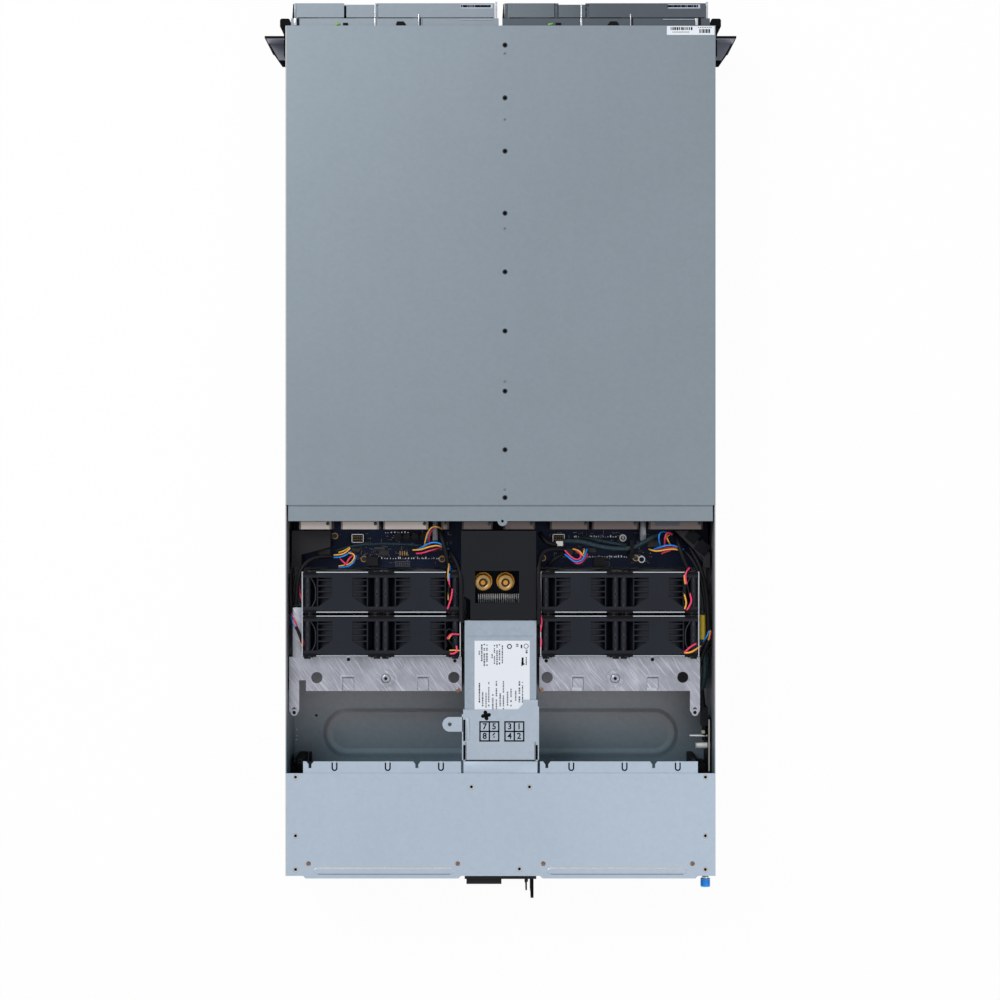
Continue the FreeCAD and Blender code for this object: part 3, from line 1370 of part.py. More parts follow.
def cables():
    sleeve = value("sleeve_radius")
    shaped("fan_harness_right", tube(RIGHT_HARNESS, sleeve))
    shaped("fan_harness_left", tube(LEFT_HARNESS, value("lead_radius")))
    shaped("data_cable", tube(DATA_CABLE, value("cable_radius")))


# ---------------------------------------------------------------- assembly and export

chassis_tray()
centre_divider()
front_top_cover()
rear_top_cover()
cover_screws()
rack_ear("rack_ear_right", "")
rack_ear("rack_ear_left", "-")
power_board()
sled_connectors()
board_parts()
board_cover()
brass_posts()
air_baffles()
fan_cage("fan_cage_right", "")
fan_cage("fan_cage_left", "-")
fans()
fan_plates()
psu_cage()
psu(1, "psu_floor")
psu(2, UPPER_FLOOR)
rear_grilles()
management_module()
thumbscrew()
sleds()
cables()
doc.recompute()

for item in doc.Objects:
    if {"Invalid", "Error"} & set(item.State):
        raise RuntimeError("failed: " + item.Name)
    if item.TypeId == "PartDesign::Pocket" and item.BaseFeature.Shape.Volume - item.Shape.Volume < 0.01:
        raise RuntimeError("a pocket cuts nothing: " + item.Name)

os.makedirs("parts", exist_ok=True)
for label, item in NODES.items():
    shape = Part.getShape(item)
    if shape.isNull() or not shape.isValid():
        raise RuntimeError("no valid shape: " + label)
    shape.exportStep("parts/%s.step" % label)
print("sub-parts:", len(NODES))
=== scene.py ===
import math
import random

import bmesh
import bpy
from mathutils import Matrix, Vector


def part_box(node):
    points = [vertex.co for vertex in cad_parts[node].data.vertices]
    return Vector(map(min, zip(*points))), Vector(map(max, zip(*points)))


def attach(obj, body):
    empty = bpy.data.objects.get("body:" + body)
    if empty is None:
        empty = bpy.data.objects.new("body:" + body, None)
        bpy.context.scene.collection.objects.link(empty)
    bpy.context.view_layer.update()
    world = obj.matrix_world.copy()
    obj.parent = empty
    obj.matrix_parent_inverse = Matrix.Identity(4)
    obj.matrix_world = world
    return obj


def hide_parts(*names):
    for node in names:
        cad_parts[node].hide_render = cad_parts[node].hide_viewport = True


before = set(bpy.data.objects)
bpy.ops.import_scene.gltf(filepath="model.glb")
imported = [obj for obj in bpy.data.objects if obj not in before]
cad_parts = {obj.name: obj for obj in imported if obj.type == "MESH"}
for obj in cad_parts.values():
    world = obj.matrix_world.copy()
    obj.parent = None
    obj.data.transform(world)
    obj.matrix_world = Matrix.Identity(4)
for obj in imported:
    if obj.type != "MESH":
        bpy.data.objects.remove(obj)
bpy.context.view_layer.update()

# A 2U rack server seen from above: steel covers front and rear, the open fan bay between them and
# the power supply cage in the middle. The front faces -Y and +X is right from the front. Pieces
# are modelled in bench millimetres: X, the station behind the front cover's edge, and height.

MM = 0.001
SCENE = bpy.context.scene
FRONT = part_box("front_top_cover")[0].y
random.seed(12)


def bench(corner):
    """A place in the frame as bench millimetres."""
    return Vector((corner.x / MM, (corner.y - FRONT) / MM, corner.z / MM))


def low(node):
    return bench(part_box(node)[0])


def high(node):
    return bench(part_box(node)[1])


def middle(start, end):
    """X and station halfway between two corners."""
    return (start.x + end.x) / 2, (start.y + end.y) / 2


# the upper faces that details stand on, and the room that one fan takes along the stations
TOP = high("front_top_cover").z
BOARD_TOP = high("power_board").z
CAGE_TOP = high("psu_cage").z
TURNED_UP_EDGE = 1.0
PLATE_TOP = high("fan_plates").z - TURNED_UP_EDGE
SUPPLY_TOP = high("psu_2_case").z
FAN_DEPTH = 38.0


# ---------------------------------------------------------------- shader maths

class Term:
    """A value that changes over a surface. Python's operators on it add Math nodes."""

    def __init__(self, finish, socket):
        self.finish = finish
        self.socket = socket

    def maths(self, operation, *values):
        return self.finish.add("ShaderNodeMath", {"operation": operation}, dict(enumerate(values)))

    def __add__(self, other):
        return self.maths("ADD", self, other)

    def __radd__(self, other):
        return self.maths("ADD", other, self)

    def __sub__(self, other):
        return self.maths("SUBTRACT", self, other)

    def __rsub__(self, other):
        return self.maths("SUBTRACT", other, self)

    def __mul__(self, other):
        return self.maths("MULTIPLY", self, other)

    def __rmul__(self, other):
        return self.maths("MULTIPLY", other, self)

    def above(self, edge):
        return self.maths("GREATER_THAN", self, edge)

    def below(self, edge):
        return self.maths("LESS_THAN", self, edge)

    def wave(self):
        return self.maths("SINE", self)

    def repeat(self, period):
        """The remainder within each period, from 0 to the period."""
        return self.maths("FLOORED_MODULO", self, period)

    def step(self, start, end):
        """0 below start, 1 above end, smooth between."""
        return self.finish.add("ShaderNodeMapRange", {"interpolation_type": "SMOOTHSTEP"},
                               {"Value": self, "From Min": start, "From Max": end})


class Finish:
    """One material's node tree, with short calls for the nodes it is made of."""

    def __init__(self, name, metallic=0.0, coat=0.0, specular=0.5):
        self.material = bpy.data.materials.new(name)
        self.material.use_nodes = True
        self.tree = self.material.node_tree
        self.tree.nodes.clear()
        self.shader = self.tree.nodes.new("ShaderNodeBsdfPrincipled")
        self.shader.inputs["Metallic"].default_value = metallic
        self.shader.inputs["Coat Weight"].default_value = coat
        self.shader.inputs["Specular IOR Level"].default_value = specular
        surface = self.tree.nodes.new("ShaderNodeOutputMaterial").inputs["Surface"]
        self.tree.links.new(self.shader.outputs["BSDF"], surface)
        coords = self.tree.nodes.new("ShaderNodeTexCoord")
        self.place = Term(self, coords.outputs["Object"])

    def feed(self, socket, value):
        if isinstance(value, Term):
            self.tree.links.new(value.socket, socket)
        else:
            socket.default_value = value

    def add(self, kind, settings, values, output=0):
        node = self.tree.nodes.new(kind)
        for name, setting in settings.items():
            setattr(node, name, setting)
        for name, value in values.items():
            self.feed(node.inputs[name], value)
        return Term(self, node.outputs[output])

    def noise(self, scale, detail=2.0, stretch=(1, 1, 1), turn=0.0):
        spot = self.add("ShaderNodeMapping", {"vector_type": "TEXTURE"},
                        {"Vector": self.place, "Scale": stretch, "Rotation": (0, 0, turn)})
        return self.add("ShaderNodeTexNoise", {}, {"Vector": spot, "Scale": scale, "Detail": detail})

    def cells(self, scale, output="Color"):
        return self.add("ShaderNodeTexVoronoi", {}, {"Vector": self.place, "Scale": scale}, output)

    def axis(self, name):
        return self.add("ShaderNodeSeparateXYZ", {}, {0: self.place}, name)

    def mix(self, factor, first, second):
        return self.add("ShaderNodeMix", {"data_type": "RGBA"}, {0: factor, 6: first, 7: second}, 2)

    def bump(self, height, distance, strength):
        return self.add("ShaderNodeBump", {}, {"Height": height, "Distance": distance, "Strength": strength})

    def done(self, colour, roughness, normal=None):
        self.feed(self.shader.inputs["Base Color"], colour)
        self.feed(self.shader.inputs["Roughness"], roughness)
        if normal is not None:
            self.feed(self.shader.inputs["Normal"], normal)
        return self.material


def shade(colour, factor):
    return (colour[0] * factor, colour[1] * factor, colour[2] * factor, 1.0)


# ---------------------------------------------------------------- finishes

def zinc_sheet(name, tone, spangle=0.05, smudge=0.08, metallic=0.55, fade=None):
    """Galvanised sheet: a fine grain, faint crystals and broad handling marks.

    A fade is an axis, where the change starts and ends on it, and the tone beyond; most fades here are
    painted shade.
    """
    finish = Finish(name, metallic=metallic)
    crystals = finish.add("ShaderNodeSeparateColor", {}, {0: finish.cells(260)}, 0)
    grain = finish.noise(1500, 3)
    rolled = finish.noise(90, 3, stretch=(1, 25, 1))
    broad = finish.noise(7, 4)
    light = (crystals - 0.5) * spangle + (grain - 0.5) * 0.16 + (rolled - 0.5) * 0.04
    light = light + (broad - 0.5) * smudge + 0.5
    colour = finish.mix(light, shade(tone, 0.62), shade(tone, 1.38))
    if fade:
        # the fade between two tones along an axis is painted shade for the sleds, the chassis floor and the
        # bead
        axis, start, end, beyond_tone = fade
        beyond_colour = finish.mix(light, shade(beyond_tone, 0.62), shade(beyond_tone, 1.38))
        colour = finish.mix(finish.axis(axis).step(start, end), colour, beyond_colour)
    rough = 0.38 + broad * 0.10 + (grain - 0.5) * 0.12
    return finish.done(colour, rough, finish.bump(grain, 0.00004, 0.4))


MATT_PLASTIC = 0.55


def cast_black(name, tone, grain=0.00008, rough=0.55, specular=0.35):
    """Black moulded plastic with a fine spark-eroded grain."""
    finish = Finish(name, specular=specular * MATT_PLASTIC)
    fine = finish.noise(2600, 3)
    broad = finish.noise(30, 3)
    colour = finish.mix(broad, shade(tone, 0.75), shade(tone, 1.3))
    return finish.done(colour, rough + (fine - 0.5) * 0.2, finish.bump(fine, grain, 0.5))


def powder_coat(name, tone):
    """Satin black powder coat with a fine orange peel."""
    finish = Finish(name, coat=0.1)
    peel = finish.noise(900, 2)
    broad = finish.noise(20, 2)
    colour = finish.mix(broad, shade(tone, 0.85), shade(tone, 1.15))
    return finish.done(colour, 0.42 + (peel - 0.5) * 0.15, finish.bump(peel, 0.00008, 0.6))


def scratched_aluminium(name, tone):
    """Bare aluminium with crossed diagonal handling scratches."""
    finish = Finish(name, metallic=0.7)
    one = finish.noise(700, 3, stretch=(1, 30, 1), turn=0.72)
    other = finish.noise(820, 3, stretch=(1, 24, 1), turn=0.5)
    cloud = finish.noise(60, 4)
    marks = one.step(0.55, 0.64) * 0.6 + other.step(0.56, 0.66) * 0.5
    light = 0.30 + (cloud - 0.5) * 0.8 + marks * 0.65
    colour = finish.mix(light, shade(tone, 0.66), shade(tone, 1.55))
    rough = 0.42 + (one - 0.5) * 0.3 - marks * 0.08
    return finish.done(colour, rough, finish.bump(one + other, 0.00003, 0.5))


def circuit_board(name, tone):
    """A dark blue board with buried tracks and pads."""
    finish = Finish(name, coat=0.02, specular=0.16)
    x = finish.axis("X")
    y = finish.axis("Y")
    patch = finish.add("ShaderNodeSeparateColor", {}, {0: finish.cells(70)}, 0)
    pitch, width = 0.0011, 0.00035
    across = x.repeat(pitch).below(width)
    along = y.repeat(pitch).below(width)
    tracks = across * patch.above(0.6) + along * patch.below(0.3)
    pads = finish.cells(420, "Distance").below(0.15) * finish.noise(90).above(0.58)
    blue = finish.mix(tracks * 0.5 + finish.noise(14, 2) * 0.6, shade(tone, 0.5), shade(tone, 2.4))
    colour = finish.mix(pads * 0.7, blue, (0.12, 0.11, 0.09, 1))
    return finish.done(colour, 0.42 + finish.noise(60) * 0.15, finish.bump(tracks + pads, 0.00003, 0.6))


def turned_brass(name):
    """Yellow brass with faint turning marks."""
    finish = Finish(name, metallic=1.0)
    rings = finish.noise(1800, 2, stretch=(6, 6, 1))
    cloud = finish.noise(160, 3)
    colour = finish.mix(cloud, (0.34, 0.13, 0.012, 1), (0.68, 0.34, 0.055, 1))
    return finish.done(colour, 0.26 + (rings - 0.5) * 0.2, finish.bump(rings, 0.00003, 0.6))


def plated(name, tone, rough=0.32, metallic=0.9):
    """Plated metal, slightly uneven."""
    finish = Finish(name, metallic=metallic)
    cloud = finish.noise(240, 3)
    colour = finish.mix(cloud, shade(tone, 0.75), shade(tone, 1.25))
    return finish.done(colour, rough + (cloud - 0.5) * 0.2, finish.bump(cloud, 0.00003, 0.5))


def braid(name, tone, fleck_tone, share=0.35):
    """Woven sleeve: two crossing sets of strands along the cable, with lighter flecks."""
    finish = Finish(name, specular=0.3)
    x = finish.axis("X")
    y = finish.axis("Y")
    z = finish.axis("Z")
    strands = 5200
    one = ((x + y + z) * strands).wave()
    other = ((x - y - z) * strands).wave()
    weave = one * other
    fleck = finish.noise(900, 2)
    spots = (weave * 0.5 + fleck).step(0.75 - share, 1.1 - share)
    colour = finish.mix(spots, shade(tone, 1), shade(fleck_tone, 1))
    return finish.done(colour, 0.62 + weave * 0.08, finish.bump(weave, 0.00012, 0.6))


def soft_plastic(name, tone, rough=0.38):
    """Insulation or moulding in one colour, with a faint unevenness."""
    finish = Finish(name)
    cloud = finish.noise(300, 3)
    colour = finish.mix(cloud, shade(tone, 0.82), shade(tone, 1.18))
    return finish.done(colour, rough + (cloud - 0.5) * 0.15, finish.bump(cloud, 0.00004, 0.4))


def paper(name):
    """Smooth white label stock."""
    finish = Finish(name, coat=0.2)
    fibre = finish.noise(900, 3)
    colour = finish.mix(fibre, (0.82, 0.86, 0.93, 1), (0.92, 0.95, 1.0, 1))
    return finish.done(colour, 0.42 + fibre * 0.1)


COVER = zinc_sheet("front_cover_zinc", (0.217, 0.258, 0.296))
# the rear cover is lighter than the front one: partly its own tone, partly painted light falling from the
# rear
REAR = zinc_sheet("rear_cover_zinc", (0.405, 0.478, 0.572))
SLED = zinc_sheet("sled_zinc", (0.217, 0.255, 0.293))
# painted shade: the left sled's panel, tray and cover are darker, lightening towards the middle on the panel
# and towards the rear on the sheets
SHADED_PANEL = zinc_sheet("dull_panel_zinc", (0.072, 0.087, 0.106),
                        fade=("X", -0.12, -0.01, (0.122, 0.144, 0.167)))
SHADED_SLED = zinc_sheet("dull_sled_zinc", (0.072, 0.087, 0.106),
                       fade=("Y", FRONT + 0.002, FRONT + 0.040, (0.217, 0.255, 0.293)))
SUPPLY = zinc_sheet("supply_zinc", (0.319, 0.372, 0.441), 0.10)
CAGE = zinc_sheet("cage_zinc", (0.388, 0.448, 0.524), 0.07)
# painted shade: the chassis floor and its bead turn darker and bluer towards the rear cover
SHELL = zinc_sheet("chassis_zinc", (0.251, 0.258, 0.277), 0.10, 0.16, 0.3,
                   ("Y", FRONT + 0.680, FRONT + 0.765, (0.118, 0.171, 0.209)))
BEAD = zinc_sheet("bead_zinc", (0.209, 0.220, 0.239), 0.10, 0.16, 0.3,
                  ("Y", FRONT + 0.722, FRONT + 0.752, (0.156, 0.220, 0.262)))
DARK_BOARD = circuit_board("dark_board", (0.0012, 0.0024, 0.006))
# bright zinc for the fan cages, also used for painted highlights along the plates' lanced tabs
BRIGHT = zinc_sheet("cut_edge_zinc", (0.418, 0.448, 0.486))
PLASTIC = cast_black("black_moulding", (0.012, 0.012, 0.015))
FAN = cast_black("fan_moulding", (0.011, 0.013, 0.020), 0.00006, 0.48, 0.3)
SHROUD = cast_black("shroud_sheet", (0.0035, 0.0042, 0.0070), 0.00016, 0.50, 0.32)
# black rubber, also used as painted shade in the plates' holes and on the sleds' side walls
RUBBER_AND_SHADE = cast_black("black_rubber", (0.004, 0.004, 0.005), 0.00010, 0.60, 0.18)
# grey rubber for pins, ribs and rims, also a painted highlight on the fan saddles
PIN_AND_HIGHLIGHT = cast_black("grey_rubber", (0.030, 0.032, 0.040), 0.00006, 0.50)
COAT = cast_black("ear_coat", (0.0025, 0.0025, 0.0035), 0.0001, 0.6, 0.12)
SLATE = powder_coat("ear_slate", (0.19, 0.20, 0.25))
PLATE = scratched_aluminium("scratched_plate", (0.325, 0.335, 0.385))
SINK = plated("heat_sink_metal", (0.496, 0.512, 0.528))
BOARD = circuit_board("blue_board", (0.0030, 0.009, 0.034))
BRASS = turned_brass("brass")
NICKEL = zinc_sheet("brown_nickel", (0.110, 0.087, 0.081), 0.04, 0.3, 0.6,
                    ("X", 0.066, 0.072, (0.395, 0.350, 0.327)))
SCREW = plated("dark_screw", (0.055, 0.06, 0.07), 0.35)
COPPER = plated("copper_screw", (0.20, 0.13, 0.10), 0.35)
SILVER = plated("bright_plating", (0.496, 0.512, 0.544), 0.28)
GOLD = plated("gold_ring", (0.34, 0.21, 0.08), 0.35)
TEAL = braid("teal_braid", (0.005, 0.008, 0.010), (0.035, 0.13, 0.17), 0.16)
KNOB = soft_plastic("knob_blue", (0.006, 0.36, 1.0), 0.35)
LIME = soft_plastic("lime_tag", (0.16, 0.42, 0.03))
BUTTON = soft_plastic("button_grey", (0.30, 0.32, 0.34))
# white nylon for the flag and coil parts, also painted highlights on the cover edge, the rear ribs and the
# rear cover's screws
WHITE_AND_HIGHLIGHT = soft_plastic("white_nylon", (0.62, 0.62, 0.60))
# black chips, also used as painted shade in the brass posts' bores
CHIP_AND_SHADE = soft_plastic("chip_black", (0.008, 0.008, 0.010), 0.45)
WIRES = {
    "yellow": soft_plastic("wire_yellow", (0.95, 0.46, 0.06)),
    "blue": soft_plastic("wire_blue", (0.004, 0.27, 0.90)),
    "red": soft_plastic("wire_red", (0.60, 0.02, 0.045)),
    "pink": soft_plastic("wire_pink", (0.92, 0.045, 0.15)),
    "black": cast_black("wire_black", (0.0055, 0.0055, 0.0075), 0.00012, 0.48, 0.25),
    "teal": TEAL,
}
TAPE = soft_plastic("yellow_tape", (0.60, 0.42, 0.02))
PAPER = paper("label_paper")
# black print, also used as painted shade in slots, screw recesses and along the cage plate's rear step
INK_AND_SHADE = cast_black("black_ink", (0.0025, 0.0025, 0.0035), 0.00002, 0.7, 0.1)
# grey print, also used as painted shadow in the slots round the plates' lanced tabs
FAINT = soft_plastic("grey_ink", (0.065, 0.07, 0.095), 0.6)
TAG = soft_plastic("tag_paper", (0.50, 0.56, 0.65), 0.6)
GUIDE = plated("guide_grey", (0.30, 0.32, 0.35), 0.5, 0.4)
FOAM = cast_black("foam_black", (0.006, 0.0065, 0.008), 0.0002, 0.8, 0.15)
BOARD_EDGE = soft_plastic("bare_board_edge", (0.42, 0.40, 0.33))


# ---------------------------------------------------------------- mesh helpers

def piece(name, bm, finishes, body="chassis", smooth=40.0):
    """A mesh object made in bench millimetres, riding on a body, smooth but for its sharp edges."""
    bmesh.ops.scale(bm, vec=(MM, MM, MM), verts=bm.verts)
    bmesh.ops.translate(bm, vec=(0, FRONT, 0), verts=bm.verts)
    bmesh.ops.recalc_face_normals(bm, faces=bm.faces)
    mesh = bpy.data.meshes.new(name)
    bm.to_mesh(mesh)
    bm.free()
    mesh.shade_smooth()
    mesh.set_sharp_from_angle(angle=math.radians(smooth))
    for finish in finishes if isinstance(finishes, tuple) else (finishes,):
        mesh.materials.append(finish)
    thing = bpy.data.objects.new(name, mesh)
    SCENE.collection.objects.link(thing)
    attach(thing, body)
    return thing


def slab(bm, start, end, bevel=0.0, turn=0.0):
    """A box between two corners, with its edges rounded, turned about its own upright axis."""
    start = Vector(start)
    end = Vector(end)
    cube = bmesh.ops.create_cube(bm, size=1.0)["verts"]
    bmesh.ops.scale(bm, vec=end - start, verts=cube)
    bmesh.ops.rotate(bm, verts=cube, cent=(0, 0, 0), matrix=Matrix.Rotation(turn, 3, "Z"))
    bmesh.ops.translate(bm, vec=(start + end) / 2, verts=cube)
    if bevel:
        edges = list({edge for vert in cube for edge in vert.link_edges})
        bmesh.ops.bevel(bm, geom=edges, offset=bevel, segments=2, profile=0.5, affect="EDGES", material=-1)


def slabs(name, finish, boxes, body="chassis"):
    """A piece that is all boxes, each with its two corners and, where it has them, bevel and turn."""
    bm = bmesh.new()
    for box in boxes:
        slab(bm, *box)
    piece(name, bm, finish, body)


AXES = {"Z": Matrix.Identity(4), "Y": Matrix.Rotation(-math.pi / 2, 4, "X"),
        "X": Matrix.Rotation(math.pi / 2, 4, "Y")}


def turned(bm, centre, outline, sides=24, axis="Z", material=0):
    """A solid of revolution: (radius, height) points turned about an axis through a centre."""
    before = set(bm.verts)
    verts = [bm.verts.new((radius, 0, height)) for radius, height in outline]
    edges = [bm.edges.new(pair) for pair in zip(verts, verts[1:])]
    bmesh.ops.spin(bm, geom=verts + edges, cent=(0, 0, 0), axis=(0, 0, 1), angle=math.tau,
                   steps=sides, use_merge=True)
    fresh = [vert for vert in bm.verts if vert not in before]
    bmesh.ops.remove_doubles(bm, verts=fresh, dist=1e-5)
    fresh = [vert for vert in bm.verts if vert not in before]
    bmesh.ops.transform(bm, matrix=Matrix.Translation(Vector(centre)) @ AXES[axis], verts=fresh)
    for face in {face for vert in fresh for face in vert.link_faces}:
        face.material_index = material


def drum(bm, centre, radius, height, sides=24, axis="Z", bevel=0.2):
    """A short cylinder with rounded rims."""
    turned(bm, centre, [(0, 0), (radius - bevel, 0), (radius, bevel), (radius, height - bevel),
                        (radius - bevel, height), (0, height)], sides, axis)


def plate(bm, outline, level, thickness):
    """A flat plate from the corners of its outline."""
    face = bm.faces.new([bm.verts.new((x, station, level)) for x, station in outline])
    raised = bmesh.ops.extrude_face_region(bm, geom=[face])["geom"]
    upper = [item for item in raised if isinstance(item, bmesh.types.BMVert)]
    bmesh.ops.translate(bm, vec=(0, 0, thickness), verts=upper)


def ring(bm, centre, inner, outer, height, sides=24):
    """A flat washer."""
    turned(bm, centre, [(inner, 0), (outer, 0), (outer, height), (inner, height), (inner, 0)], sides)


def islands(node):
    """The lowest and highest corners of each separate solid of a node."""
    bm = bmesh.new()
    bm.from_mesh(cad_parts[node].data)
    bmesh.ops.remove_doubles(bm, verts=bm.verts, dist=1e-6)
    left = set(bm.verts)
    found = []
    while left:
        group = set()
        edge_of_group = [left.pop()]
        while edge_of_group:
            vert = edge_of_group.pop()
            group.add(vert)
            for edge in vert.link_edges:
                other = edge.other_vert(vert)
                if other in left:
                    left.discard(other)
                    edge_of_group.append(other)
        spots = [bench(vert.co) for vert in group]
        found.append((Vector(min(spot[axis] for spot in spots) for axis in range(3)),
                      Vector(max(spot[axis] for spot in spots) for axis in range(3))))
    bm.free()
    return sorted(found, key=lambda pair: tuple(pair[0]))


def add_curve(bm, curve, place):
    """The mesh of a curve, put in its place and added to a piece."""
    guide = bpy.data.objects.new("guide", curve)
    SCENE.collection.objects.link(guide)
    mesh = bpy.data.meshes.new_from_object(guide)
    bpy.data.objects.remove(guide)
    mesh.transform(place)
    bm.from_mesh(mesh)
    bpy.data.meshes.remove(mesh)


def strand(bm, points, radius):
    """A wire or sleeve along a smooth line."""
    curve = bpy.data.curves.new("strand", "CURVE")
    curve.dimensions = "3D"
    curve.bevel_depth = radius
    curve.bevel_resolution = 2
    curve.resolution_u = 6
    curve.use_fill_caps = True
    spline = curve.splines.new("NURBS")
    spline.points.add(len(points) - 1)
    for spot, point in zip(spline.points, points):
        spot.co = (*point, 1.0)
    spline.order_u = 3
    spline.use_endpoint_u = True
    add_curve(bm, curve, Matrix.Identity(4))


def numeral(bm, digit, x, station, level, size):
    """One printed digit, read with the front of the machine upwards."""
    curve = bpy.data.curves.new("numeral", "FONT")
    curve.body = digit
    curve.size = size
    curve.offset = 0.2
    curve.align_x = "CENTER"
    curve.align_y = "CENTER"
    curve.extrude = 0.02
    add_curve(bm, curve, Matrix.Translation((x, station, level + 0.02)) @ Matrix.Rotation(math.pi, 4, "Z"))


# ---------------------------------------------------------------- finishes of the CAD nodes

def paint(finish, *nodes):
    """Give CAD nodes a finish in place of their own."""
    for node in nodes:
        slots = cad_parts[node].data.materials
        slots.clear()
        slots.append(finish)


def paint_nodes():
    paint(COVER, "front_top_cover")
    paint(REAR, "rear_top_cover")
    paint(SHELL, "chassis_tray", "centre_divider", "rear_grilles")
    paint(CAGE, "psu_cage")
    paint(SUPPLY, "psu_1_case", "psu_2_case")
    paint(BRIGHT, "fan_cage_left", "fan_cage_right")
    paint(COAT, "rack_ear_left", "rack_ear_right", "psu_1_handle", "psu_2_handle")
    paint(PLATE, "fan_plates")
    paint(BOARD, "power_board")
    paint(DARK_BOARD, "management_module")
    paint(NICKEL, "sled_connectors")
    paint(PLASTIC, "board_parts", "air_baffles", "psu_1_rear", "psu_2_rear", "psu_1_latch", "psu_2_latch")
    paint(SHROUD, "board_cover")
    paint(FAN, "fan_frames_left", "fan_frames_right", *["fan_rotor_%d" % number for number in range(1, 9)])
    paint(BRASS, "brass_posts")
    paint(KNOB, "thumbscrew")
    # the left sled gets the sheet finishes with painted shade
    for side, sheet, panel in (("left", SHADED_SLED, SHADED_PANEL), ("right", SLED, SLED)):
        paint(sheet, "sled_%s_tray" % side, "sled_%s_cover" % side)
        paint(panel, "sled_%s_front_panel" % side)
        paint(SILVER, "sled_%s_lever" % side)
        paint(BUTTON, "sled_%s_power_button" % side)
        paint(BOARD, "sled_%s_board" % side)
        paint(SINK, "sled_%s_heat_sinks" % side)
        paint(PLASTIC, "sled_%s_drive_1" % side, "sled_%s_drive_2" % side)


# ---------------------------------------------------------------- covers

def screw_heads():
    """Flush countersunk heads with a recess, in place of the plain discs, with painted shade in the recesses
    and painted highlights on the rear cover's heads.
    """
    bm = bmesh.new()
    copper_row = high("rear_top_cover").y - 16
    step = high("front_top_cover").y
    for start, end in islands("cover_screws"):
        radius = (end.x - start.x) / 2
        depth = end.z - start.z
        centre = (*middle(start, end), start.z)
        if copper_row < centre[1] < copper_row + 2:
            turned(bm, centre, [(0, 0.50), (0.8, 0.55), (1.0, 0.30), (1.5, 0.30), (2.0, 0.66), (2.2, 0.66),
                                (2.4, 0), (0, 0)], 24, "Z", 1)
            turned(bm, centre, [(2.4, 0), (2.4, 0.5), (3.2, 0.5), (3.2, 0), (2.4, 0)], 24, "Z")
            continue
        # the rear cover's heads get a white cone, a painted highlight; the front cover's a dark rim
        rim = 0 if centre[1] > step else 3
        turned(bm, centre, [(1.45, 0.12), (1.6, 0.35), (1.9, depth), (radius, depth), (radius, 0), (1.45, 0),
                            (1.45, 0.12)], 24, "Z", rim)
        # black centre: painted shade in the recess
        turned(bm, centre, [(0, 0.2), (0.6, 0.2), (1.45, 0.12), (1.45, 0), (0, 0)], 12, "Z", 2)
    heads = piece("screw_heads", bm, (WHITE_AND_HIGHLIGHT, COPPER, INK_AND_SHADE, SCREW))
    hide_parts("cover_screws")


def mark(bm, x0, x1, y0, y1, level):
    """A printed rectangle, or one of painted shade."""
    slab(bm, (x0, y0, level), (x1, y1, level + 0.03))


def print_column(bm, x, start, end, width, level):
    """A line of print that spells nothing, running to the rear."""
    station = start
    while station < end - 0.6:
        length = random.uniform(0.7, 2.2)
        if random.random() > 0.18:
            mark(bm, x - width / 2, x + width / 2, station, min(station + length, end), level)
        station += length + random.uniform(0.35, 0.7)


def bar_code(bm, x0, x1, y0, y1, level):
    """Bars of random widths, which spell nothing."""
    x = x0
    while x < x1 - 0.4:
        width = random.choice((0.9, 1.2, 1.7))
        mark(bm, x, min(x + width, x1), y0, y1, level)
        x += width + random.choice((0.5, 0.7, 1.0))


# print on the upper supply's label: X, start and end stations, and width, which the ink widens
INK_SPREAD = 1.25
DARK_COLUMNS = ((6.2, 634, 655.5, 0.9), (-1.9, 634.5, 655, 0.9), (-22.6, 672, 693, 0.9),
                (21.6, 673, 693.5, 1.1), (-26.4, 646.4, 655.4, 0.8))
FAINT_COLUMNS = ((19.2, 633.5, 655.5, 1.3), (16.6, 633, 655.8, 1.3), (13.9, 633.8, 655.4, 1.3),
                 (21.8, 640, 648.4, 0.9), (3.6, 633.6, 655.6, 1.1), (1.0, 633.2, 655.2, 1.1),
                 (8.6, 643.4, 647.6, 1.0),
                 (18.3, 682, 697, 1.2), (14.8, 683, 699, 1.0), (12.0, 672, 697, 1.0),
                 (7.9, 682, 700, 1.3), (4.2, 671, 700, 1.1), (0.3, 682, 700, 1.2), (-3.0, 671, 700, 1.0),
                 (-7.2, 682, 697, 1.1), (-10.8, 679, 697, 1.1), (-15.6, 681, 694, 1.1),
                 (-19.4, 671, 693, 1.3), (-17.2, 633, 637, 2.0), (-26.8, 639, 643, 1.6))


def supply_label():
    """The white label on the upper power supply, with columns of print, a ring, a nut and a triangle."""
    level = SUPPLY_TOP + 0.12
    slabs("supply_label", PAPER, [((-30.0, 629.7, SUPPLY_TOP), (26.6, 703, level))], body="psu_2")
    bm = bmesh.new()
    for x, start, end, width in DARK_COLUMNS:
        print_column(bm, x, start, end, width * INK_SPREAD, level)
    ring(bm, (-9.2, 635.6, level), 1.7, 2.8, 0.03, 6)
    ring(bm, (-26.3, 635.3, level), 1.9, 2.5, 0.03, 20)
    mark(bm, -22.3, -20.8, 633.8, 637.3, level)
    mark(bm, -23.7, -21.7, 646.8, 652.8, level)
    bmesh.ops.create_cone(bm, cap_ends=True, segments=3, radius1=2.6, radius2=2.6, depth=0.03,
                          matrix=Matrix.Translation((-22.7, 653.6, level + 0.015))
                          @ Matrix.Rotation(math.pi / 2, 4, "Z"))
    piece("supply_print", bm, INK_AND_SHADE, body="psu_2")
    bm = bmesh.new()
    for x, start, end, width in FAINT_COLUMNS:
        print_column(bm, x, start, end, width * INK_SPREAD, level)
    piece("supply_fine_print", bm, FAINT, body="psu_2")


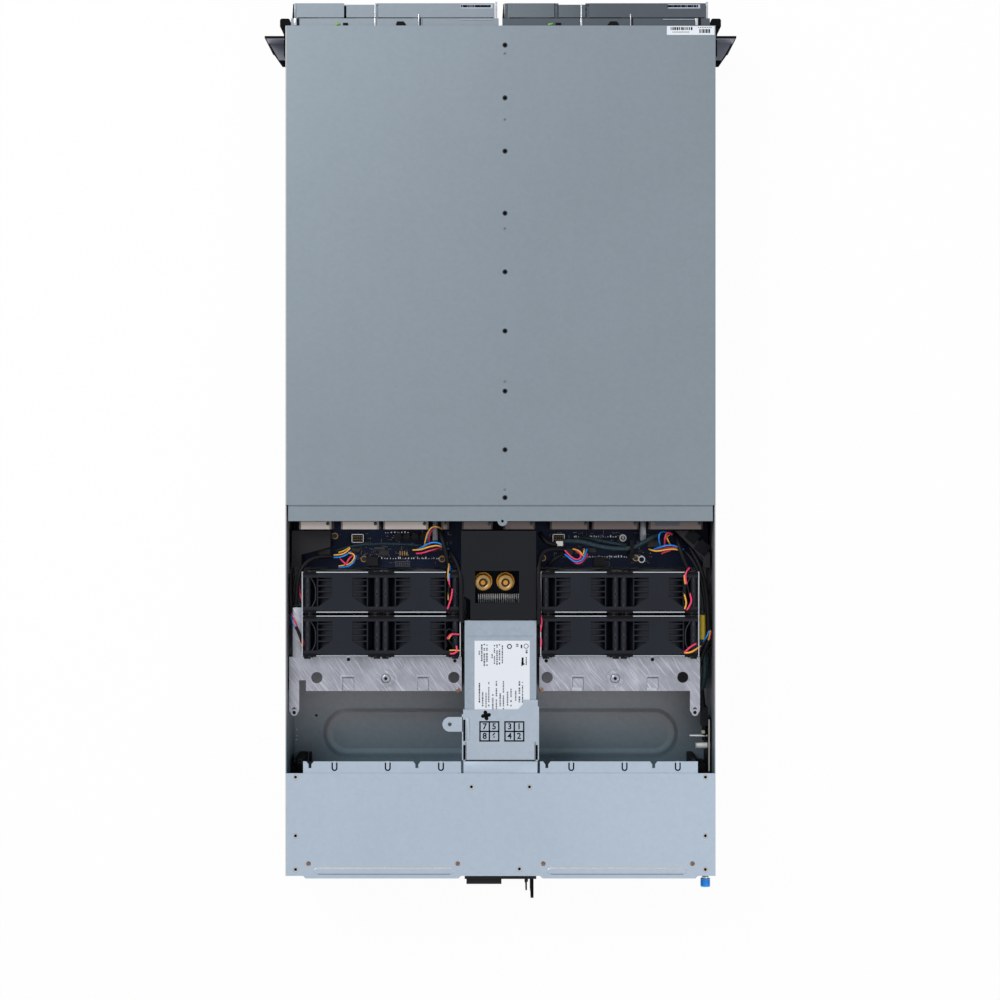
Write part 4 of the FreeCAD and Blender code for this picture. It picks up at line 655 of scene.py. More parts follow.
def cover_label():
    """A white label at the front cover's corner with two generic bar codes."""
    level = TOP + 0.12
    slabs("cover_label", PAPER, [((-219.0, 0.6, TOP), (-170.2, 9.6, level))])
    bm = bmesh.new()
    bar_code(bm, -196.4, -173.9, 1.6, 4.7, level)
    bar_code(bm, -214.3, -203.0, 3.7, 7.7, level)
    for x, end, pitch, y0, y1 in ((-193.0, -176.5, 1.6, 6.3, 7.1), (-216.0, -202.0, 1.8, 1.7, 2.4)):
        while x < end:
            mark(bm, x, x + 1.1, y0, y1, level)
            x += pitch
    piece("cover_print", bm, INK_AND_SHADE)


# places along X of what each sled has at its front edge. The shift moves the front panel's label, the
# edge is the panel's end, with the painted shade of its side wall so far beyond, and the grooves filled are
# the panel's own.
SLED_FRONTS = {
    "sled_right": {"label": (8, 42), "green": (164.4, 169.5), "clip": (156.2, 161.3), "pin": 128.4,
                   "boss": (96.8, 107.0), "tab": 82.9, "end": (206.4, 211.4), "shift": 0,
                   "edge": 208.9, "lever": 2.5, "filled": ((125.4, 128.6),), "sheet": SLED},
    "sled_left": {"label": (-200.5, -166.5), "green": (-53.8, -48.7), "clip": (-62.0, -56.3), "pin": -82.8,
                  "boss": (-121.4, -111.1), "tab": -134.0, "end": (-205.0, -199.5), "shift": 4,
                  "edge": -7.5, "lever": 3.6, "filled": ((-90.6, -87.0), (-59.4, -55.2)), "sheet": SHADED_SLED},
}


def sled_fittings():
    """The small parts at the sleds' front edge, the thin labels beside them and painted shade on each sled's
    side wall.
    """
    lid = high("sled_left_cover").z
    panel = high("sled_left_front_panel").z
    panel_bottom = 79.0
    for body, row in SLED_FRONTS.items():
        low_x, high_x = row["label"]
        shift = row["shift"]
        slabs(body + "_label", TAG, [
            ((low_x, -7.0, lid), (high_x, -6.5, lid + 0.08)),
            ((low_x - shift, -22.4, panel), (high_x - 1 - shift, -18.2, panel + 0.08))], body=body)
        bm = bmesh.new()
        x = low_x + 2
        while x < high_x - 2:
            mark(bm, x - shift, x + 1.5 - shift, -21.7, -19.2, panel + 0.08)
            x += random.uniform(1.3, 2.0)
        piece(body + "_label_print", bm, INK_AND_SHADE, body=body)
        bm = bmesh.new()
        start, end = row["clip"]
        slab(bm, (start, -3.2, lid), (end, 0.4, lid + 0.45), 0.15)
        start, end = row["boss"]
        plate(bm, ((start, 0.4), (start + 0.4, -2.2), (start + 2.4, -4.6), (end - 1.4, -4.6),
                   (end - 0.3, -3.0), (end, 0.4)), lid, 0.45)
        tab = row["tab"]
        slab(bm, (tab - 1.4, -7.9, lid), (tab + 0.2, 0.3, lid + 0.5), 0.12)
        low_x, high_x = row["end"]
        slab(bm, (low_x, -7.9, lid), (low_x + 2.0, -0.4, lid + 0.5), 0.12)
        edge = row["edge"]
        lever = edge + row["lever"]
        # black plate: painted shade on the sled's side wall
        plate(bm, ((lever, -1.0), (lever + 2.0, -1.0), (lever + 2.0, -9.0), (lever + 1.1, -23.0),
                   (lever + 0.3, -23.0), (lever, -9.0)), panel_bottom, 4.4)
        piece(body + "_dark_fittings", bm, RUBBER_AND_SHADE, body)
        fillings = [((x0, -23.4, panel_bottom), (x1, -8.6, panel), 0.02) for x0, x1 in row["filled"]]
        slabs(body + "_panel_return", row["sheet"],
              [((edge, -23.4, panel_bottom), (lever, -8.4, panel), 0.2)] + fillings, body=body)
        bm = bmesh.new()
        pin = row["pin"]
        drum(bm, (pin, -22.0, panel + 0.25), 0.9, 13.5, 12, "Y")
        slab(bm, (pin - 0.9, -7.9, lid), (pin + 0.9, 0.2, lid + 0.5), 0.2)
        slab(bm, (tab + 0.3, -12.0, panel), (tab + 1.2, -0.2, lid + 0.55), 0.12)
        slab(bm, (high_x - 2.6, -7.9, lid), (high_x, -0.6, lid + 0.55), 0.2)
        piece(body + "_bright_fittings", bm, SILVER, body=body)
        start, end = row["green"]
        slabs(body + "_release_tag", LIME, [((start, -2.8, lid), (end, -0.9, lid + 0.4), 0.15, 0.25)],
              body)


# ---------------------------------------------------------------- cage plate

def cage_print():
    """The fan numbers on the cage plate, with a plain fan sign, painted shade in the plate's slots and along
    its rear step, and the plate's bead.
    """
    bm = bmesh.new()
    line = 1.5
    front, rear = 712.8, 732.3
    for left, numbers in ((21.0, "7586"), (-4.6, "3142")):
        right = left - 19.2
        for share in (0, 0.5, 1):
            x = left + (right - left) * share
            station = front + (rear - front) * share
            mark(bm, x - line / 2, x + line / 2, front - line / 2, rear + line / 2, CAGE_TOP)
            mark(bm, right - line / 2, left + line / 2, station - line / 2, station + line / 2, CAGE_TOP)
        for number, digit in enumerate(numbers):
            row, column = divmod(number, 2)
            numeral(bm, digit, left - 4.8 - 9.6 * column, front + 4.9 + 9.75 * row, CAGE_TOP, 8.6)
    hub = (14.9, 706.2)
    for quarter in range(4):
        turn = Matrix.Rotation(quarter * math.pi / 2 + 0.5, 4, "Z")
        blade = Matrix.Translation((*hub, CAGE_TOP + 0.015)) @ turn @ Matrix.Translation((0.9, 2.7, 0))
        blade = blade @ Matrix.Diagonal((2.0, 2.4, 1, 1))
        bmesh.ops.create_cone(bm, cap_ends=True, segments=20, radius1=1, radius2=1, depth=0.03, matrix=blade)
    drum(bm, (*hub, CAGE_TOP), 1.0, 0.04, 16, "Z", 0.01)
    # dark strips in the plate's slots and along its rear step: painted shade
    for x0, x1, start, end in ((35.9, 38.2, 710.5, 732.4), (35.9, 38.2, 736.4, 751.6),
                               (-38.2, -35.9, 736.4, 751.6)):
        mark(bm, x0, x1, start, end, CAGE_TOP)
    mark(bm, -36.0, 36.0, 751.6, 752.8, CAGE_TOP)
    piece("cage_print", bm, INK_AND_SHADE)
    # dark slabs in the lip's slots: painted shade
    slabs("lip_slots", INK_AND_SHADE, [((x - 3.3, 753.3, 83.8), (x + 3.3, 762.8, 84.4))
                             for x in (169.6, 115.2, 61.0, -72.3, -126.5, -181.0)])
    slabs("cage_bead", CAGE, [
        ((31.6, 708.7, CAGE_TOP - 0.5), (35.2, 731.3, CAGE_TOP + 0.9), 0.8),
        ((38.25, 705.0, CAGE_TOP - 1.2), (39.5, 752.0, CAGE_TOP), 0.2),
        ((-38.25, 697.0, CAGE_TOP - 1.2), (-39.5, 752.0, CAGE_TOP), 0.2)])
    under = low("rear_top_cover").z + 6.8
    slabs("rear_cover_tongue", REAR, [((-37.6, 753.2, under), (37.4, 772, under + 1.1), 0.15)])


# ---------------------------------------------------------------- fans

FAN_BAYS = ("fan_frames_left", "fan_frames_right")


def fan_places(node):
    """The corners of each of the four fans of one bay, two columns in two rows."""
    start, end = low(node), high(node)
    width = (end.x - start.x) / 2
    places = []
    for row in (start.y, end.y - FAN_DEPTH):
        for column in (start.x, start.x + width):
            places.append((Vector((column, row, start.z)), Vector((column + width, row + FAN_DEPTH, end.z))))
    return places


def fan_rubbers():
    """The rubber mounts that hold each fan: saddles on the cage walls, with grey strips of painted highlight,
    and pull pins between them.
    """
    black = bmesh.new()
    grey = bmesh.new()
    wall = high("fan_cage_left").z
    saddle = 13.5
    for node in FAN_BAYS:
        fans = fan_places(node)
        last_row = max(start.y for start, end in fans)
        for start, end in fans:
            centre = (start.x + end.x) / 2
            top = end.z
            for side in (-1, 1):
                edge = centre + side * (end.x - start.x) / 2
                x0, x1 = sorted((edge, edge - side * saddle))
                for station, out in ((start.y - 0.9, -1), (end.y + 0.9, 1)):
                    near, far = sorted((station - out * 1.6, station + out * 1.5))
                    slab(black, (x0, near, top + 0.1), (x1, far, wall + 0.55), 0.3)
                    for share in (0.22, 0.70):
                        drum(black, (edge - side * saddle * share, station + out * 0.6, wall + 0.2), 1.7, 1.2,
                             10, "Z", 0.4)
                    # grey strip on the saddle: painted highlight
                    slab(grey, (x0 + 4.6, station + out * 1.1, wall + 0.2),
                         (x0 + 8.4, station + out * 1.9, wall + 0.8), 0.15)
                pin = centre + side * 35.7
                turned(grey, (pin, start.y + 2.8, top - 1.6),
                       [(0, 0), (1.3, 0), (1.3, 4.5), (0.6, 6.5), (0.6, 13), (1.2, 16), (1.2, 20), (0.6, 23),
                        (0.6, 28), (1.3, 31), (1.3, 32.4), (0, 32.4)], 12, "Y")
                ring(grey, (pin, start.y + 20.8, top - 0.5), 1.3, 2.1, 0.5, 4)
                drum(black, (pin, start.y + 20.8, top - 0.6), 1.2, 0.4, 12, "Z", 0.1)
                if start.y == last_row:
                    slab(black, (pin - 3.4, end.y + 0.4, top + 0.2),
                         (pin + 3.4, end.y + 4.4, wall + 0.7), 0.5)
    piece("fan_saddles", black, RUBBER_AND_SHADE)
    piece("fan_pins", grey, PIN_AND_HIGHLIGHT)


def fan_struts():
    """The thin bowed ribs at the outer edges of the two bays."""
    bm = bmesh.new()
    for node in FAN_BAYS:
        fans = fan_places(node)
        outer = max(max(abs(start.x), abs(end.x)) for start, end in fans)
        side = 1 if fans[0][0].x > 0 else -1
        edge = side * outer
        for start, end in fans:
            if max(abs(start.x), abs(end.x)) < outer - 1:
                continue
            line = [(edge - side * reach, start.y + station, end.z - 0.9)
                    for reach, station in ((7.5, 4.0), (10.5, 8.5), (12.6, 14.0), (12.6, 22.0), (12.4, 28.0),
                                           (9.0, 34.0))]
            strand(bm, line, 0.5)
    piece("fan_bay_ribs", bm, PIN_AND_HIGHLIGHT)


# X and station of the bosses and the holes in the plates behind the fans
BOSSES = ((118.0, 669.0), (-118.0, 669.0))
RIMMED_HOLES = ((156.4, 649.5), (47.0, 650.9), (-156.4, 649.5), (-47.0, 650.9), (212.3, 704.1),
                (-200.1, 704.1))
LARGE_HOLE = (-187.6, 667.8)


def plate_fittings():
    """Screws and bosses on the plates behind the fans, painted highlights along the lanced tabs and painted
    shade in the holes and round the tabs.
    """
    bm = bmesh.new()
    for place in BOSSES:
        ring(bm, (*place, PLATE_TOP + 0.9), 7.0, 8.6, 0.35)
        turned(bm, (*place, PLATE_TOP), [(1.6, 0), (5.0, 0), (3.6, 1.3), (2.4, 1.7), (1.6, 1.6), (1.6, 0)])
    for place in RIMMED_HOLES:
        ring(bm, (*place, PLATE_TOP - 0.1), 1.9, 3.5, 0.4)
    slab(bm, (204.4, 596.0, PLATE_TOP - 1.5), (213.9, 647.2, PLATE_TOP), 0.2)
    slab(bm, (-195.0, 670.4, PLATE_TOP - 1.5), (-187.9, 681.9, PLATE_TOP))
    ring(bm, (*LARGE_HOLE, PLATE_TOP), 5.7, 6.3, 0.2, 32)
    piece("plate_bosses", bm, PLATE)
    bm = bmesh.new()
    for x in (43.7, -42.2):
        turned(bm, (x, 680.9, PLATE_TOP), [(0, 0), (2.4, 0), (2.4, 0.9), (1.5, 1.5), (0.7, 1.5), (0.7, 0.8),
                                           (0, 0.8)], 20)
    piece("plate_screws", bm, COPPER)
    bm = bmesh.new()
    # bright strips along the tabs' edges: painted highlights
    for x0, x1 in ((-83.6, -73.4), (-160.4, -150.4)):
        slab(bm, (x0, 678.4, PLATE_TOP), (x1, 681.8, PLATE_TOP + 1.1), 0.15)
    for x0, x1 in ((151.6, 162.7), (72.8, 84.4), (-85.2, -74.4), (-162.2, -151.2)):
        slab(bm, (x0 - 1.6, 665.6, PLATE_TOP), (x1 + 1.2, 666.4, PLATE_TOP + 0.3), 0.1)
        slab(bm, (x1 + 1.0, 666.0, PLATE_TOP), (x1 + 1.7, 679.0, PLATE_TOP + 0.3), 0.1)
    piece("plate_bright_edges", bm, BRIGHT)
    bm = bmesh.new()
    for place in BOSSES:
        drum(bm, (*place, PLATE_TOP + 0.2), 1.7, 1.5, 16, "Z", 0.1)
    # black discs in the holes: painted shade
    for place in RIMMED_HOLES:
        drum(bm, (*place, PLATE_TOP - 0.1), 1.8, 0.3, 16, "Z", 0.05)
    drum(bm, (*LARGE_HOLE, PLATE_TOP - 0.1), 5.8, 0.14, 32, "Z", 0.02)
    piece("plate_holes", bm, RUBBER_AND_SHADE)
    bm = bmesh.new()
    # grey lines round the tabs: painted shadow in their slots
    for x0, x1 in ((151.2, 162.2), (74.4, 85.2), (-85.2, -74.4), (-162.2, -151.2)):
        slab(bm, (x0, 667.8, PLATE_TOP), (x1, 668.6, PLATE_TOP + 0.5), 0.1)
        for x in (x0, x1):
            slab(bm, (x - 0.25, 668.0, PLATE_TOP), (x + 0.25, 680.9, PLATE_TOP + 0.3))
    piece("plate_dark_marks", bm, FAINT)


# ---------------------------------------------------------------- board

def board_headers(silver, gold):
    """Bright frames and two rows of pins on the small headers at the board's front."""
    rim = 0.7
    for start, end in islands("board_parts"):
        if 12 < end.x - start.x < 13 and start.y < 530:
            for x0, x1, y0, y1 in ((start.x, end.x, start.y, start.y + rim),
                                   (start.x, end.x, end.y - rim, end.y),
                                   (start.x, start.x + rim, start.y, end.y),
                                   (end.x - rim, end.x, start.y, end.y)):
                slab(silver, (x0, y0, end.z), (x1, y1, end.z + 0.2))
            for row in range(2):
                for column in range(5):
                    x = start.x + 2.4 + column * 1.9
                    station = start.y + 3.0 + row * 2.6
                    slab(gold, (x - 0.35, station - 0.35, end.z), (x + 0.35, station + 0.35, end.z + 1.2))


def small_part(dark, gold, silver):
    """One random chip capacitor or resistor with its two soldered ends."""
    x = random.uniform(50, 160) * random.choice((-1, 1))
    station = random.choice((random.uniform(519, 534), random.uniform(534, 552)))
    along = random.random() > 0.5
    length = random.uniform(1.1, 2.4)
    width = length * random.uniform(0.4, 0.6)
    half_x, half_y = (length / 2, width / 2) if along else (width / 2, length / 2)
    height = random.uniform(0.4, 0.9)
    slab(dark, (x - half_x, station - half_y, BOARD_TOP), (x + half_x, station + half_y, BOARD_TOP + height))
    end_x, end_y = (half_x, 0) if along else (0, half_y)
    for side in (-1, 1):
        px = x + side * end_x
        py = station + side * end_y
        slab(random.choice((gold, silver, gold)), (px - 0.28, py - 0.28, BOARD_TOP),
             (px + 0.28, py + 0.28, BOARD_TOP + 0.35))


def board_details():
    """Rings, headers, chips and pins on the board behind the sleds, and painted shade in the brass posts'
    bores.
    """
    level = BOARD_TOP
    gold = bmesh.new()
    silver = bmesh.new()
    dark = bmesh.new()
    for x, station in ((214.0, 523.1), (173.5, 523.1), (143.1, 547.2), (61.3, 547.2), (-142.0, 546.2),
                       (-44.5, 546.2)):
        ring(gold, (x, station, level), 2.5, 3.4, 0.15)
        drum(dark, (x, station, level), 2.5, 0.12, 20, "Z", 0.03)
    for x, station in ((-128.4, 525.2), (-148.0, 547.6)):
        ring(silver, (x, station, level), 2.6, 3.7, 0.2)
    for x in (-0.8, 0.8):
        slab(silver, (-128.4 + x - 0.3, 523.4, level), (-128.4 + x + 0.3, 527.0, level + 0.2))
    board_headers(silver, gold)
    for number in range(4):
        slab(gold, (97.4 + number * 2.4, 538.8, level), (98.6 + number * 2.4, 543.8, level + 0.6), 0.1)
    for number in range(230):
        small_part(dark, gold, silver)
    for x, station, size in ((122, 541, 5.0), (70, 537, 4.2), (-70, 540, 5.5), (-96, 538, 4.0),
                             (-132, 536, 5.0), (152, 538, 3.6), (-160, 531, 6.0), (185, 540, 6.5)):
        depth = size * 0.6
        slab(dark, (x - size, station - depth, level), (x + size, station + depth, level + 1.2), 0.15)
    for start, end in islands("brass_posts"):
        post = middle(start, end)
        # dark ring down each brass post's bore: painted shade
        ring(dark, (*post, end.z - 3.0), 2.45, 4.38, 0.5, 32)
        turned(gold, (*post, end.z), [(4.5, 0), (5.3, 0.45), (7.6, 0.45), (8.1, 0), (4.5, 0)], 40)
    for number in range(23):
        x = -21.5 + number * 2.0
        slab(silver, (x, 583.2, 40.6), (x + 1.0, 592.6, 42.0), 0.15)
    for x, end, station in ((124.0, 64.0, 546.2), (58.0, 45.0, 545.0), (-92.0, -150.0, 544.5),
                            (120.0, 96.0, 519.0), (-78.0, -124.0, 523.5)):
        while x > end:
            size = random.uniform(0.5, 1.3)
            front = station + random.uniform(-1.2, 0.6)
            slab(silver, (x, front, level), (x + size, station + 1.0, level + 0.4))
            x -= size + random.uniform(0.7, 2.6)
    piece("board_rings_and_pins", gold, GOLD)
    piece("board_tin", silver, SINK)
    piece("board_chips", dark, CHIP_AND_SHADE)


def board_tags():
    """Two printed tags and a bar on the board, and a flag on the cable."""
    tags = ((94.9, 110.4), (-114.7, -99.2))
    upper = BOARD_TOP + 0.15
    bar = ((122.2, 534.6, BOARD_TOP), (132.4, 537.2, BOARD_TOP + 2.0), 0.3)
    slabs("board_tags", FAINT, [((x0, 549.3, BOARD_TOP), (x1, 555.2, upper)) for x0, x1 in tags] + [bar])
    bm = bmesh.new()
    for x0, x1 in tags:
        x = x0 + 1.2
        while x < x1 - 1.5:
            mark(bm, x, x + 0.9, 550.5, 551.8, upper)
            mark(bm, x + 0.3, x + 1.2, 552.8, 554.2, upper)
            x += random.uniform(1.5, 2.2)
    piece("board_tag_print", bm, INK_AND_SHADE)
    slabs("cable_flag", WHITE_AND_HIGHLIGHT, [((-64.7, 527.8, 61.0), (-57.5, 533.0, 64.5), 0.5)])


def connector_fittings():
    """Screws on the connector blocks, the grey strips between them and the foam at their ends."""
    bm = bmesh.new()
    for start, end in islands("sled_connectors"):
        turned(bm, (start.x + 3.4, 509.7, end.z), [(0, 0), (1.9, 0), (1.9, 0.5), (1.1, 1.0), (0, 1.0)], 16)
    piece("connector_screws", bm, CHIP_AND_SHADE)
    bm = bmesh.new()
    for x0, x1, end, top in ((-150.7, -144.8, 527.5, 60.0), (65.2, 70.4, 527.5, 56.0)):
        slab(bm, (x0, 506.0, BOARD_TOP), (x1, end, top), 0.4)
        slab(bm, (x0 + 0.8, 508.0, top), (x1 - 0.8, end - 5.0, top + 0.8), 0.3)
    piece("guide_blocks", bm, GUIDE)
    top = high("sled_connectors").z
    slabs("connector_tag", FAINT, [((-184.0, 507.9, top), (-158.5, 512.2, top + 0.12))])
    top = low("air_baffles").z + 40.6
    slabs("foam_pads", FOAM, [((-204.0, 517.2, 62.0), (-192.5, 529.0, top), 0.8, 0.86),
                              ((-214.4, 527.8, 62.0), (-202.4, 541.0, top), 0.8, 0.86)])
    slabs("baffle_wall", PIN_AND_HIGHLIGHT, [((-199.6, 512.0, BOARD_TOP), (-198.4, 557.0, 66.0), 0.3, 0.62)])


# ---------------------------------------------------------------- wiring

